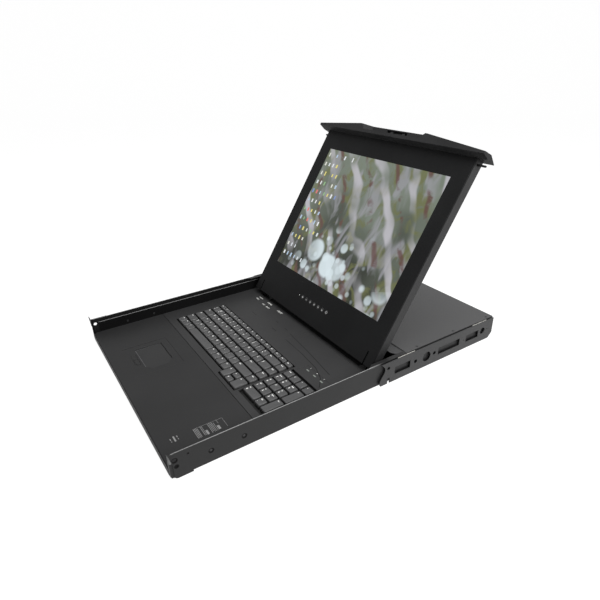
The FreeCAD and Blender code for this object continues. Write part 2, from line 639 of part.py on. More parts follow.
def make_keyboard_deck():
    y0, y1 = SEAM_Y + SEAM_GAP / 2, DECK_REAR
    x = PAN_IN
    z0 = DECK_TOP - DECK_T
    parts = [box(-x, y0, z0, x, y1, DECK_TOP)] + deck_walls(y0, y1)
    for side in (-1, 1):
        inner, rear = EAR_U + DECK_ARM_GAP, HINGE_Y + DECK_ARM_PAST
        parts.append(box(side * inner, y1 - 1, z0, side * x, rear, DECK_TOP))
        parts.append(box(side * (x - DECK_WALL), y1 - 1, PAN_TOP, side * x, rear, z0))
    parts.append(box(-x, y1 - NOTCH_DEPTH - DECK_WALL, PAN_TOP, x, y1 - NOTCH_DEPTH, z0))
    cuts = opening_boxes(0, DECK_TOP + 1)
    cuts += [box(lx - LAMP_SIZE[0] / 2, LAMP_Y - LAMP_SIZE[1] / 2, 0, lx + LAMP_SIZE[0] / 2,
                 LAMP_Y + LAMP_SIZE[1] / 2, DECK_TOP + 1) for lx in LAMP_X]
    for x0, fy0, x1, fy1 in (LABEL_FIELD, REAR_FIELD):
        cuts.append(box(x0, fy0, DECK_TOP - FIELD_DEPTH, x1, fy1, DECK_TOP + 1))
    return cut(fuse(parts), cuts)


def make_guide_plate():
    """Plate below the keys: rim up to the deck, a square guide hole for each stem."""
    z0, z1 = PLATE_Z, PLATE_Z + PLATE_T
    rim = fuse(opening_boxes(z0, DECK_TOP - DECK_T, grow=2.0))
    plate = cut(rim, opening_boxes(z1, DECK_TOP, grow=0.0))
    holes = []
    for cells in KEY_GROUPS.values():
        for cell in cells:
            s = stem_size(cell) / 2 + STEM_CLEAR
            xm, ym = cell[0] + cell[2] / 2, cell[1] + cell[3] / 2
            holes.append(box(xm - s, ym - s, z0 - 1, xm + s, ym + s, z1 + 1))
    return cut(plate, holes)


def make_dome_sheet():
    x1 = PAD_X + 4 * PITCH
    return box(MAIN_X, ARROW_Y, DOME_Z, x1, MAIN_Y + 5 * PITCH + FUNCTION_D, DOME_Z + DOME_T)


def make_lamps():
    return [box(lx - LAMP_SIZE[0] / 2, LAMP_Y - LAMP_SIZE[1] / 2, DECK_TOP - DECK_T,
                lx + LAMP_SIZE[0] / 2, LAMP_Y + LAMP_SIZE[1] / 2, DECK_TOP - FIELD_DEPTH + 0.2)
            for lx in LAMP_X]


# ---- hinge brackets on the pan ----
def make_hinge_bracket():
    x0, x1 = EAR_U - EAR_T / 2, EAR_U + EAR_T / 2
    upright = box(x0, HINGE_Y - EAR_W / 2, PAN_TOP, x1, HINGE_Y + EAR_W / 2, HINGE_Z)
    head = rod(x0, HINGE_Y, HINGE_Z, EAR_HEAD_R, EAR_T, (1, 0, 0))
    foot = box(x1 - EAR_FOOT, HINGE_Y - EAR_W / 2, PAN_TOP, x1, HINGE_Y + EAR_W / 2, PAN_TOP + FOOT_T)
    hole = rod(x0 - 1, HINGE_Y, HINGE_Z, PIN_R + PIN_CLEAR, EAR_T + 2, (1, 0, 0))
    return cut(fuse([upright, head, foot]), [hole])


# ---- screen ----
def hinge_slits():
    half = EAR_T / 2 + SLIT_CLEAR
    return [box(s * (EAR_U - half), -1, -SCREEN_T - 1, s * (EAR_U + half), SLIT_V, 1) for s in (-1, 1)]


def make_bezel():
    plate = box(-SCREEN_W / 2, 0, -BEZEL_T, SCREEN_W / 2, SCREEN_H, 0)
    cuts = [box(-VIEW_W / 2, VIEW_V, -BEZEL_T - 1, VIEW_W / 2, VIEW_V + VIEW_H, 1)] + hinge_slits()
    for i in range(OSD_COUNT):
        cuts.append(rod(OSD_U + i * OSD_PITCH, OSD_V, -BEZEL_T - 1, OSD_R + OSD_CLEAR,
                        BEZEL_T + 2, (0, 0, 1)))
    cuts.append(rod(OSD_LAMP_U, OSD_V, -BEZEL_T - 1, OSD_LAMP_R, BEZEL_T + 2, (0, 0, 1)))
    return place_screen(cut(plate, cuts))


def make_back_shell():
    hw, c = SCREEN_W / 2, SHELL_CHAMFER
    w0 = -SCREEN_T
    rim = [(-hw, 0), (hw, 0), (hw, SCREEN_H), (-hw, SCREEN_H)]
    back = [(-hw + c, c), (hw - c, c), (hw - c, SCREEN_H), (-hw + c, SCREEN_H)]
    outer = fuse([prism([(x, y, w0 + c) for x, y in rim], (0, 0, SCREEN_T - BEZEL_T - c)),
                  loft([[(x, y, w0) for x, y in back], [(x, y, w0 + c) for x, y in rim]])])
    hollow = box(-hw + SHELL_T, SHELL_T, w0 + SHELL_T, hw - SHELL_T, SCREEN_H - SHELL_T, 0)
    corner = c - SHELL_T / 2
    fillers = [box(s * hw, 0, w0, s * (hw - SHELL_T - corner), SCREEN_H, w0 + SHELL_T + corner)
               for s in (-1, 1)]
    kept = fuse([outer.cut(hollow)] + [outer.common(f) for f in fillers])
    hole = TONGUE_R + TONGUE_CLEAR
    cuts = hinge_slits() + [rod(-hw - 1, LATCH_V, LATCH_W, hole, SCREEN_W + 2, (1, 0, 0))]
    tab_w = BAR / 2 + TAB_CLEAR
    for side in (-1, 1):
        u0, u1 = tab_window(side)
        cuts.append(box(u0, SCREEN_H - 2 * SHELL_T, LATCH_W - tab_w, u1, SCREEN_H + 1, LATCH_W + tab_w))
    return place_screen(cut(kept, cuts))


def make_display():
    v0, v1 = VIEW_V, VIEW_V + VIEW_H
    step = 0.3
    glass = box(-VIEW_W / 2 + step, v0 + step, -BEZEL_T, VIEW_W / 2 - step, v1 - step, -VIEW_STEP)
    body = box(-VIEW_W / 2 - MODULE_RIM, v0 - MODULE_RIM, -BEZEL_T - MODULE_T,
               VIEW_W / 2 + MODULE_RIM, v1 + MODULE_RIM, -BEZEL_T)
    return place_screen(fuse([glass, body]))


def osd_button(i):
    u = OSD_U + i * OSD_PITCH
    cap = rod(u, OSD_V, -BEZEL_T, OSD_R, BEZEL_T + 0.1, (0, 0, 1))
    return place_screen(cap)


def make_osd_board():
    u0, u1 = OSD_LAMP_U - OSD_BOARD_LEFT, OSD_U + (OSD_COUNT - 1) * OSD_PITCH + OSD_BOARD_RIGHT
    w1 = -BEZEL_T - OSD_TRAVEL - OSD_CLEAR
    half, inner = OSD_BOARD_HALF, OSD_BOARD_HALF - OSD_POST
    board = box(u0, OSD_V - half, w1 - BOARD_T, u1, OSD_V + half, w1)
    posts = [box(u, OSD_V + s * inner, w1, u + OSD_POST, OSD_V + s * half, -BEZEL_T)
             for u in (u0, u1 - OSD_POST) for s in (-1, 1)]
    lamp = rod(OSD_LAMP_U, OSD_V, w1, OSD_LAMP_R, -w1 - 0.4, (0, 0, 1))
    return place_screen(fuse([board, lamp] + posts))


def make_screen_arm():
    gap = EAR_T / 2 + CHEEK_GAP
    w0, w1 = -SCREEN_T + CHEEK_BACK, -BEZEL_T
    cheeks = [box(EAR_U + s * gap, CHEEK_V0, w0, EAR_U + s * (gap + CHEEK_T), CHEEK_V1, w1) for s in (-1, 1)]
    web = box(EAR_U - gap - CHEEK_T, SLIT_V + 1, w0, EAR_U + gap + CHEEK_T, SLIT_V + 1 + CHEEK_T, w1)
    span = 2 * (gap + CHEEK_T)
    hole = rod(EAR_U - span, HINGE_V, -HINGE_W, PIN_R, 2 * span, (1, 0, 0))
    return place_screen(cut(fuse(cheeks + [web]), [hole]))


def make_pin(side):
    half = EAR_T / 2 + CHEEK_GAP + CHEEK_T + PIN_OVER
    return place_screen(rod(side * EAR_U - half, HINGE_V, -HINGE_W, PIN_R, 2 * half, (1, 0, 0)))


# ---- front panel with its hand pocket ----
def panel_section(u, thick, ridge, back):
    v = SCREEN_H
    return [(u, v, 0), (u, v + PANEL_RISE, PANEL_FRONT_W), (u, v + thick, PANEL_FRONT_W),
            (u, v + thick + ridge, RIDGE_W), (u, v + back, -SCREEN_T), (u, v, -SCREEN_T)]


def tab_window(side):
    """Range across that a finger tab sweeps, plus clearance."""
    lo = TAB_U[0] - LATCH_PULL - TAB_CLEAR
    hi = TAB_U[1] + LATCH_THROW + TAB_CLEAR
    return sorted((side * lo, side * hi))


def make_front_panel():
    e = PANEL_W / 2
    body = loft([panel_section(-e, END_T, END_RIDGE_OUT, END_BACK_OUT),
                 panel_section(-PEAK_U, PEAK_T, RIDGE_OUT, BACK_OUT),
                 panel_section(PEAK_U, PEAK_T, RIDGE_OUT, BACK_OUT),
                 panel_section(e, END_T, END_RIDGE_OUT, END_BACK_OUT)])
    v0, v1 = SCREEN_H + POCKET_WALL, SCREEN_H + PEAK_T + 2 * RIDGE_OUT
    w1, w0 = PANEL_FRONT_W + 1, POCKET_FLOOR_W
    mouth = [(-POCKET_FOOT_U, v0, w1), (POCKET_FOOT_U, v0, w1),
             (POCKET_TOP_U, v1, w1), (-POCKET_TOP_U, v1, w1)]
    inner = [(-POCKET_IN_U, v0, w0), (POCKET_IN_U, v0, w0), (POCKET_IN_U, v1, w0), (-POCKET_IN_U, v1, w0)]
    tab_w = BAR / 2 + TAB_CLEAR
    slot_w = LATCH_W + tab_w
    cuts = [loft([inner, mouth]),
            box(-SLOT_HALF, SCREEN_H + SLOT_V0, slot_w - 0.5, SLOT_HALF, SCREEN_H + SLOT_V1, w0 + 1)]
    for side in (-1, 1):
        u0, u1 = tab_window(side)
        cuts.append(box(u0, SCREEN_H - 1, LATCH_W - tab_w, u1, SCREEN_H + TAB_REACH + TAB_CLEAR, slot_w))
    return place_screen(cut(body, cuts))


def make_latch_slide(side):
    """Finger tab, bar and round tongue in one piece."""
    u_tip = INNER - TONGUE_GAP
    u_bar = SCREEN_W / 2 - SHELL_T - LATCH_THROW - 1.5
    b = BAR / 2
    bar = box(TAB_U[0], LATCH_V - b, LATCH_W - b, u_bar, LATCH_V + b, LATCH_W + b)
    tongue = fuse([rod(u_bar, LATCH_V, LATCH_W, TONGUE_R, u_tip - 1.5 - u_bar, (1, 0, 0)),
                   Part.makeCone(TONGUE_R, TONGUE_R - 1.0, 1.5,
                                 V(u_tip - 1.5, LATCH_V, LATCH_W), V(1, 0, 0))])
    reach = SCREEN_H + TAB_REACH
    tab = box(TAB_U[0], LATCH_V, LATCH_W - b, TAB_U[1], reach, LATCH_W + b)
    v_tip = SCREEN_H + SLOT_V0 + TAB_CLEAR
    w_tip = LATCH_W + b + 2 * TAB_CLEAR
    tip = fuse([box(TAB_U[0], v_tip, LATCH_W, TAB_U[1], reach, -TIP_DEPTH),
                box(TAB_U[0], v_tip, w_tip, TAB_U[1], SCREEN_H + TIP_REACH, -TIP_DEPTH)])
    piece = fuse([bar, tongue, tab, tip])
    return place_screen(piece if side > 0 else mirrored(piece))


# ---- rear housing ----
def make_cover():
    half = HALF - COVER_CLEAR
    plate = box(-half, COVER_FRONT, TOP_Z - SHEET, half, REAR_FACE, TOP_Z)
    heads = []
    for side in (-1, 1):
        for y in SCREW_Y:
            x = side * (HALF - SCREW_IN)
            heads.append(rod(x, y, TOP_Z - SCREW_HEAD_T, SCREW_HEAD_R, 2, (0, 0, 1)))
            heads.append(rod(x, y, TOP_Z - 2 * SHEET, SCREW_SHANK_R, 2 * SHEET, (0, 0, 1)))
    return cut(plate, heads)


def make_cover_screws():
    screws = []
    for side in (-1, 1):
        for y in SCREW_Y:
            x = side * (HALF - SCREW_IN)
            head = rod(x, y, TOP_Z - SCREW_HEAD_T, SCREW_HEAD_R, SCREW_HEAD_T, (0, 0, 1))
            drive = box(x - 1.6, y - 0.3, TOP_Z - 0.3, x + 1.6, y + 0.3, TOP_Z + 1)
            shank = rod(x, y, TOP_Z - SCREW_LEN, SCREW_SHANK_R, SCREW_LEN - SCREW_HEAD_T, (0, 0, 1))
            screws.append(fuse([head, shank]).cut(drive))
    return screws


def make_shroud():
    """Plate that closes the space between hinge and cover, front corners rounded."""
    top = TOP_Z - SHEET
    half = INNER - FLANGE_W - SHROUD_CLEAR
    front = COVER_FRONT - SHROUD_REACH
    plate = box(-half, front, top - SHEET, half, COVER_FRONT + SHROUD_LAP, top)
    corners = [e for e in plate.Edges
               if abs(e.Length - SHEET) < 1e-6 and abs(e.CenterOfMass.y - front) < 1e-6]
    return plate.makeFillet(SHROUD_CORNER, corners)


def make_rear_panel():
    z1 = TOP_Z - SHEET
    x = PAN_IN
    low_flange = TOP_Z - 2 * SHEET - FLANGE_CLEAR
    plate = fuse([box(-x, REAR_FACE - SHEET, PAN_TOP, x, REAR_FACE, low_flange - SHEET),
                  box(-(x - FLANGE_W), REAR_FACE - SHEET, PAN_TOP, x - FLANGE_W, REAR_FACE, z1)])
    ix, iw, ih = INLET
    cuts = [box(ix - iw / 2, REAR_FACE - 5, CONNECTOR_Z - ih / 2,
                ix + iw / 2, REAR_FACE + 5, CONNECTOR_Z + ih / 2)]
    for px in PORT_X:
        cuts.append(box(px - PORT_SIZE[0] / 2, REAR_FACE - 5, CONNECTOR_Z - PORT_SIZE[1] / 2,
                        px + PORT_SIZE[0] / 2, REAR_FACE + 5, CONNECTOR_Z + PORT_SIZE[1] / 2))
    cuts.append(box(USB_X - USB_SIZE[0] / 2, REAR_FACE - 5, CONNECTOR_Z - USB_SIZE[1] / 2,
                    USB_X + USB_SIZE[0] / 2, REAR_FACE + 5, CONNECTOR_Z + USB_SIZE[1] / 2))
    return cut(plate, cuts)


def make_inlet():
    """Three-pin mains inlet: flange on the panel, cup with three blades."""
    x, w, h = INLET
    z = CONNECTOR_Z
    a, b = w / 2 - INLET_CLEAR, h / 2 - INLET_CLEAR
    cup = box(x - a, DEPTH - INLET_DEPTH, z - b, x + a, DEPTH, z + b)
    flange = box(x - INLET_FLANGE[0] / 2, REAR_FACE, z - INLET_FLANGE[1] / 2,
                 x + INLET_FLANGE[0] / 2, DEPTH, z + INLET_FLANGE[1] / 2)
    a, b = w / 2 - INLET_WALL, h / 2 - INLET_WALL
    well = box(x - a, DEPTH - INLET_WELL, z - b, x + a, DEPTH + 1, z + b)
    a, b = BLADE[0] / 2, BLADE[1] / 2
    blades = [box(x + dx - a, DEPTH - INLET_WELL - 1, z + dz - b, x + dx + a, DEPTH - BLADE_SET, z + dz + b)
              for dx, dz in ((-BLADE_PITCH, BLADE_LOW), (BLADE_PITCH, BLADE_LOW), (0, BLADE_HIGH))]
    return fuse([fuse([cup, flange]).cut(well)] + blades)


def make_ports():
    """Two fifteen-way video ports and one square data port."""
    ports = []
    z = CONNECTOR_Z
    a, b = PORT_SIZE[0] / 2 - PORT_CLEAR, PORT_SIZE[1] / 2 - PORT_CLEAR
    for x in PORT_X:
        shell = prism([(x - a, REAR_FACE, z + b), (x + a, REAR_FACE, z + b),
                       (x + a - PORT_SLOPE, REAR_FACE, z - b), (x - a + PORT_SLOPE, REAR_FACE, z - b)],
                      (0, REAR_GAP, 0))
        body = box(x - a, REAR_FACE - PORT_BODY, z - b, x + a, REAR_FACE, z + b)
        flange = box(x - PORT_FLANGE[0] / 2, REAR_FACE, z - PORT_FLANGE[1] / 2,
                     x + PORT_FLANGE[0] / 2, REAR_FACE + PORT_FLANGE_T, z + PORT_FLANGE[1] / 2)
        ports.append(fuse([shell, body, flange]))
    a, b = USB_SIZE[0] / 2, USB_SIZE[1] / 2
    x, c, r, t = USB_X, USB_CLEAR, USB_RIM, USB_WALL
    mouth = DEPTH - REAR_GAP / 2
    body = box(x - a + c, REAR_FACE - USB_BODY, z - b + c, x + a - c, mouth, z + b - c)
    flange = box(x - a - r, REAR_FACE, z - b - r, x + a + r, REAR_FACE + PORT_FLANGE_T, z + b + r)
    well = box(x - a + t, mouth - 1 - USB_WELL, z - b + t, x + a - t, DEPTH + 1, z + b - t)
    ports.append(fuse([body, flange]).cut(well))
    return ports


def make_board(board, blocks):
    """Circuit board on its bosses, with its larger components."""
    x0, y0, w, d = board
    z = BOARD_Z + BOARD_T
    parts = [box(x0, y0, BOARD_Z, x0 + w, y0 + d, z)]
    parts += [box(x0 + bx, y0 + by, z, x0 + bx + bw, y0 + by + bd, z + bh) for bx, by, bw, bd, bh in blocks]
    return fuse(parts)


def rivet_bores(y_places, side):
    return [rod(side * PAN_IN, y, RIVET_Z, RIVET_SHANK_R, 2 * SHEET, (side, 0, 0)) for y in y_places]


def build():
    os.makedirs("parts", exist_ok=True)
    pairs = {"latch_bracket": make_latch_bracket(), "rail": make_rail(),
             "hinge_bracket": make_hinge_bracket(), "screen_arm": make_screen_arm()}
    for name, shape in pairs.items():
        save(name + "_right", shape)
        save(name + "_left", mirrored(shape))
    save("side_plate_right", make_side_plate(RIVET_Y_RIGHT))
    save("side_plate_left", mirrored(make_side_plate(RIVET_Y_LEFT)))
    glides = make_glides()
    save("rail_glides", glides + [mirrored(g) for g in glides])
    save("side_rivets", [make_rivet(y) for y in RIVET_Y_RIGHT]
         + [mirrored(make_rivet(y)) for y in RIVET_Y_LEFT])
    save("base_pan", cut(make_pan(), rivet_bores(RIVET_Y_RIGHT, 1) + rivet_bores(RIVET_Y_LEFT, -1)))
    save("palm_rest", make_palm_rest())
    save("touchpad", make_touchpad())
    for side, name in ((-1, "left"), (1, "right")):
        save("pad_button_" + name, make_pad_button(side))
        save("latch_slide_" + name, make_latch_slide(side))
    save("keyboard_deck", make_keyboard_deck())
    save("key_guide_plate", make_guide_plate())
    save("dome_sheet", make_dome_sheet())
    for name, cells in KEY_GROUPS.items():
        save(name, [make_key(cell) for cell in cells])
    save("indicator_lamps", make_lamps())
    save("hinge_pins", [make_pin(-1), make_pin(1)])
    save("screen_bezel", make_bezel())
    save("screen_back", make_back_shell())
    save("display_module", make_display())
    save("osd_board", make_osd_board())
    for i in range(OSD_COUNT):
        save("osd_button_" + str(i + 1), osd_button(i))
    save("front_panel", make_front_panel())
    save("top_cover", make_cover())
    save("cover_screws", make_cover_screws())
    save("hinge_shroud", make_shroud())
    save("rear_panel", make_rear_panel())
    save("mains_inlet", make_inlet())
    save("console_ports", make_ports())
    save("video_board", make_board(VIDEO_BOARD, (SCALER_CHIP, KEYBOARD_CHIP, PLUG_ROW, PLUG_END)))
    save("power_supply", make_board(SUPPLY_BOARD, (TRANSFORMER, HEAT_SINK, BULK_CAP, FILTER_COIL)))


build()
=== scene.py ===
import bpy
import bmesh
import json
import math
import random
from mathutils import Matrix, Vector


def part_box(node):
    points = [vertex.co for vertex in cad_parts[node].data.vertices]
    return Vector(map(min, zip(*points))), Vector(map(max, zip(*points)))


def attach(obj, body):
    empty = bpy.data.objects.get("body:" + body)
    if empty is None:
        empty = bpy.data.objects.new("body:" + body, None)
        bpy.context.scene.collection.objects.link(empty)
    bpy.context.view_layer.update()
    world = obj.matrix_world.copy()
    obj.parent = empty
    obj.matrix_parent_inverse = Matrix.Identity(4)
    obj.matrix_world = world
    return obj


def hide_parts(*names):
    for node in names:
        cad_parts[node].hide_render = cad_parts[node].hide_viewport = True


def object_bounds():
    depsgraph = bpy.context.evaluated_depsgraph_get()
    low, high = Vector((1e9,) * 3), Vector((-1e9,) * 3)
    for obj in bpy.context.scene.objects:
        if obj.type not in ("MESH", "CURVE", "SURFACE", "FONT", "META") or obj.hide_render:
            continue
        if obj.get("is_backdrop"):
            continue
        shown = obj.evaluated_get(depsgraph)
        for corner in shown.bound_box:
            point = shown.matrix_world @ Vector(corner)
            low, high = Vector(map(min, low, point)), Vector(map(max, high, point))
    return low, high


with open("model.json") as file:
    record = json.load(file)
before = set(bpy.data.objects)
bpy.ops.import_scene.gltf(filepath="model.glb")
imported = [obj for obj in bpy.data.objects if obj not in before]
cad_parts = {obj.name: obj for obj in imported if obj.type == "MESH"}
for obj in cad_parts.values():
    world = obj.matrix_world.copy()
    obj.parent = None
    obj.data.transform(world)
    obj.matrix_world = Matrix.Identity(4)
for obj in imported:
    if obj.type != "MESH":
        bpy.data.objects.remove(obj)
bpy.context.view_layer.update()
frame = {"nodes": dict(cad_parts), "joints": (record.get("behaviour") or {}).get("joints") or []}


# ---- camera ------------------------------------------------------------------
# Stands off the front right corner of the drawer, a little above the open
# screen, and looks across the keyboard to the raised screen.
STAND = (0.71496, -0.43481, 0.50479)
LOOK = (-0.743177, 0.497193, -0.447757)
HEAD_UP = (-0.365972, 0.258165, 0.894100)
FOCAL, SENSOR = 29.335, 36.0
SHIFT_X, SHIFT_Y = -0.01648, -0.00363
NEAREST = 0.01
scene = bpy.context.scene
lens = bpy.data.cameras.new("camera")
lens.lens = FOCAL
lens.sensor_width = SENSOR
lens.shift_x = SHIFT_X
lens.shift_y = SHIFT_Y
lens.clip_start = NEAREST
camera = bpy.data.objects.new("camera", lens)
scene.collection.objects.link(camera)
scene.camera = camera
look = Vector(LOOK).normalized()
across = look.cross(Vector(HEAD_UP)).normalized()
upward = across.cross(look)
camera.matrix_world = (Matrix.Translation(STAND)
                       @ Matrix((across, upward, -look)).transposed().to_4x4())


# ---- studio ------------------------------------------------------------------
# A sheet of white paper swept up into a wall, a broad lamp high over the drawer's
# right side, and a smaller one lower down at its right. Only the camera and
# mirror-like reflections see the paper and the sky at full white.
PAPER_HALF, PAPER_FRONT, PAPER_BACK, PAPER_BEND, PAPER_WALL = 6.0, 5.0, 3.5, 1.5, 3.0
PAPER_TURN, BEND_STEPS = math.radians(50), 14
PAPER_GREY, PAPER_ROUGH, PAPER_GLOW, PAPER_SHADED = 0.78, 0.9, 0.93, 0.22
SKY, SKY_SEEN = 0.28, 1.0
LAMPS = (  # name, place, point it is aimed at, diameter in metres, watts
    ("overhead", (0.45, 0.05, 1.5), (0.05, 0, 0), 1.2, 16),
    ("side", (1.1, 0.2, 0.75), (0.1, -0.1, 0), 0.6, 9))


class Sock:
    """One output in a node tree. Arithmetic on it adds Math nodes."""

    def __init__(self, shading, owner, out):
        self.shading, self.owner, self.out = shading, owner, out

    def also(self, name):
        """Another output of the same node."""
        return Sock(self.shading, self.owner, self.owner.outputs[name])

    def math(self, operation, other=0.0, flip=False):
        a, b = (other, self) if flip else (self, other)
        return self.shading.node("ShaderNodeMath", {"operation": operation}, {0: a, 1: b})

    def __add__(self, other):
        return self.math("ADD", other)

    def __sub__(self, other):
        return self.math("SUBTRACT", other)

    def __rsub__(self, other):
        return self.math("SUBTRACT", other, True)

    def __mul__(self, other):
        return self.math("MULTIPLY", other)

    __radd__, __rmul__ = __add__, __mul__

    def size(self):
        return self.math("ABSOLUTE")

    def most(self, other):
        return self.math("MAXIMUM", other)

    def least(self, other):
        return self.math("MINIMUM", other)

    def rise(self, low, high):
        """0 below low, 1 above high, smooth between; falls where low is above high."""
        if low > high:
            return 1 - self.rise(high, low)
        return self.shading.node("ShaderNodeMapRange", {"interpolation_type": "SMOOTHSTEP"},
                                 {"Value": self, "From Min": low, "From Max": high})


class Shading:
    """A node tree whose nodes are added by one method."""

    def __init__(self, tree):
        self.tree = tree

    def node(self, kind, settings=None, inputs=None, out=0):
        """Adds a node: its settings first, then the values or links of its inputs."""
        made = self.tree.nodes.new(kind)
        for key, value in (settings or {}).items():
            setattr(made, key, value)
        for key, value in (inputs or {}).items():
            if isinstance(value, Sock):
                self.tree.links.new(value.out, made.inputs[key])
            else:
                made.inputs[key].default_value = value
        return Sock(self, made, made.outputs[out])

    def seen_white(self, plain, white):
        """Shader plain for light that bounces, white for what the camera and gloss see."""
        sight = self.node("ShaderNodeLightPath")
        seen = sight.also("Is Camera Ray").most(sight.also("Is Glossy Ray"))
        seen = seen.most(sight.also("Is Transmission Ray"))
        return self.node("ShaderNodeMixShader", None, {0: seen, 1: plain, 2: white})


class Finish(Shading):
    """A material with a Principled shader."""

    def __init__(self, name, color, rough, **constants):
        self.material = bpy.data.materials.new(name)
        self.material.use_nodes = True
        super().__init__(self.material.node_tree)
        self.shader = self.tree.nodes["Principled BSDF"]
        self.shader.inputs["Base Color"].default_value = (*color, 1)
        self.shader.inputs["Roughness"].default_value = rough
        for key, value in constants.items():
            self.shader.inputs[key.replace("_", " ")].default_value = value

    def set(self, name, sock):
        self.tree.links.new(sock.out, self.shader.inputs[name])

    def end(self, shader):
        self.tree.links.new(shader.out, self.tree.nodes["Material Output"].inputs["Surface"])

    def place(self, source="Object"):
        return self.node("ShaderNodeTexCoord", out=source)

    def axes(self, source="Object"):
        split = self.node("ShaderNodeSeparateXYZ", None, {0: self.place(source)})
        return split, split.also("Y"), split.also("Z")

    def noise(self, scale, detail=3.0, stretch=(1, 1, 1), source="Object", warp=0.0):
        """Noise around 0.5, scale in cycles to the metre."""
        at = self.node("ShaderNodeMapping", None, {0: self.place(source), "Scale": stretch})
        return self.node("ShaderNodeTexNoise", None, {"Vector": at, "Scale": scale,
                                                      "Detail": detail, "Distortion": warp})

    def mix(self, factor, a, b):
        """Colour a where factor is 0, b where it is 1."""
        a, b = (v if isinstance(v, Sock) else (*v, 1) for v in (a, b))
        return self.node("ShaderNodeMix", {"data_type": "RGBA"}, {0: factor, 6: a, 7: b}, 2)

    def bump(self, height, strength, depth, edge):
        """Fine relief, over normals rounded along the edges."""
        soft = self.node("ShaderNodeBevel", {"samples": 6}, {"Radius": edge})
        self.set("Normal", self.node("ShaderNodeBump", None, {
            "Height": height, "Strength": strength, "Distance": depth, "Normal": soft}))


def keep(bm, name):
    """Turns a finished bmesh into an object at the origin."""
    mesh = bpy.data.meshes.new(name)
    bm.to_mesh(mesh)
    bm.free()
    obj = bpy.data.objects.new(name, mesh)
    scene.collection.objects.link(obj)
    return obj


bm = bmesh.new()
row = [bm.verts.new((x, PAPER_BACK, 0)) for x in (-PAPER_HALF, PAPER_HALF)]
hem = bm.edges.new(row)
swept = bmesh.ops.spin(bm, geom=[hem] + row, cent=(0, PAPER_BACK, PAPER_BEND), axis=(1, 0, 0),
                       angle=math.pi / 2, steps=BEND_STEPS)
top = [part for part in swept["geom_last"] if isinstance(part, bmesh.types.BMEdge)]
for edges, travel in ((top, (0, 0, PAPER_WALL)), ([hem], (0, -PAPER_FRONT - PAPER_BACK, 0))):
    drawn = bmesh.ops.extrude_edge_only(bm, edges=edges)["geom"]
    moved = [part for part in drawn if isinstance(part, bmesh.types.BMVert)]
    bmesh.ops.translate(bm, vec=travel, verts=moved)
bmesh.ops.rotate(bm, matrix=Matrix.Rotation(PAPER_TURN, 3, "Z"), verts=bm.verts)
for face in bm.faces:
    face.smooth = True
    if face.calc_center_median().z < 0.01 and face.normal.z < 0:
        face.normal_flip()
paper = keep(bm, "floor")
f = Finish("floor_paper", (PAPER_GREY,) * 3, PAPER_ROUGH)
f.set("Roughness", f.noise(3.0, 2.0) * 0.1 + (PAPER_ROUGH - 0.05))
glow = f.node("ShaderNodeEmission", None, {"Color": (1, 1, 1, 1), "Strength": PAPER_GLOW})
grey = f.node("ShaderNodeBsdfDiffuse", None, {"Color": (*(PAPER_SHADED,) * 3, 1)})
white = f.node("ShaderNodeAddShader", None, {0: glow, 1: grey})
f.end(f.seen_white(Sock(f, f.shader, f.shader.outputs[0]), white))
paper.data.materials.append(f.material)
paper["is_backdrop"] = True

world = bpy.data.worlds.new("studio")
scene.world = world
world.use_nodes = True
sky = Shading(world.node_tree)
dim = sky.node("ShaderNodeBackground", None, {"Color": (1, 1, 1, 1), "Strength": SKY})
white = sky.node("ShaderNodeBackground", None, {"Color": (1, 1, 1, 1), "Strength": SKY_SEEN})
sky.tree.links.new(sky.seen_white(dim, white).out,
                   sky.tree.nodes["World Output"].inputs["Surface"])
for name, spot, aim, size, power in LAMPS:
    lamp = bpy.data.lights.new(name, "AREA")
    lamp.shape = "DISK"
    lamp.size = size
    lamp.energy = power
    stand = bpy.data.objects.new(name, lamp)
    scene.collection.objects.link(stand)
    turn = (Vector(aim) - Vector(spot)).to_track_quat("-Z", "Y")
    stand.matrix_world = Matrix.Translation(spot) @ turn.to_matrix().to_4x4()
scene.view_settings.view_transform = "Standard"


# ---- tray: pan, side plates, rear panel, latch brackets ----------------------
# Folded steel sheet 1.2 mm thick, powder coated a fine-grained black. The side plates are riveted
# to the pan. A painted highlight runs along the upper edges of plates and pan walls, broken up by
# noise. The plates' inner faces and the pan carry painted shade in a darker black, and painted
# shade darkens the plates round the rivets and the latch holes.
MM = 0.001
TRAY_BLACK = (0.011, 0.011, 0.0112)
SHADED_INSIDE_BLACK = (0.0045, 0.0045, 0.0046)
SEAT_SHADE_BLACK = (0.002, 0.002, 0.002)
# The pale grey of the painted highlight along the upper edges.
HIGHLIGHT_GREY = (0.26, 0.26, 0.26)
INNER_FACE, OUTER_FACE, SOFT = 218.4 * MM, 219.5 * MM, 0.2 * MM
PLATE_EDGE_Z, PLATE_EDGE_X, HIGHLIGHT_TO_Y = 42.5 * MM, 217.7 * MM, 45.0 * MM
WALL_EDGE_Z, WALL_EDGE_X = 34.0 * MM, 217.0 * MM
LATCH_HOLES = ((-319.3, 31.4, 4.4), (-317.7, 20.6, 3.4))  # y, z and radius of the painted shade, in mm
SEATS = (  # side, and the places of painted shade on it
    (1, ((-268.0, 20.5, 4.2), (-217.5, 20.5, 4.2), *LATCH_HOLES)),
    (-1, ((-258.6, 20.5, 4.2), (-204.3, 20.5, 4.2), *LATCH_HOLES)))
nodes = frame["nodes"]


def shade(color, k):
    """A colour made k times as bright."""
    return tuple(min(1.0, c * k) for c in color)


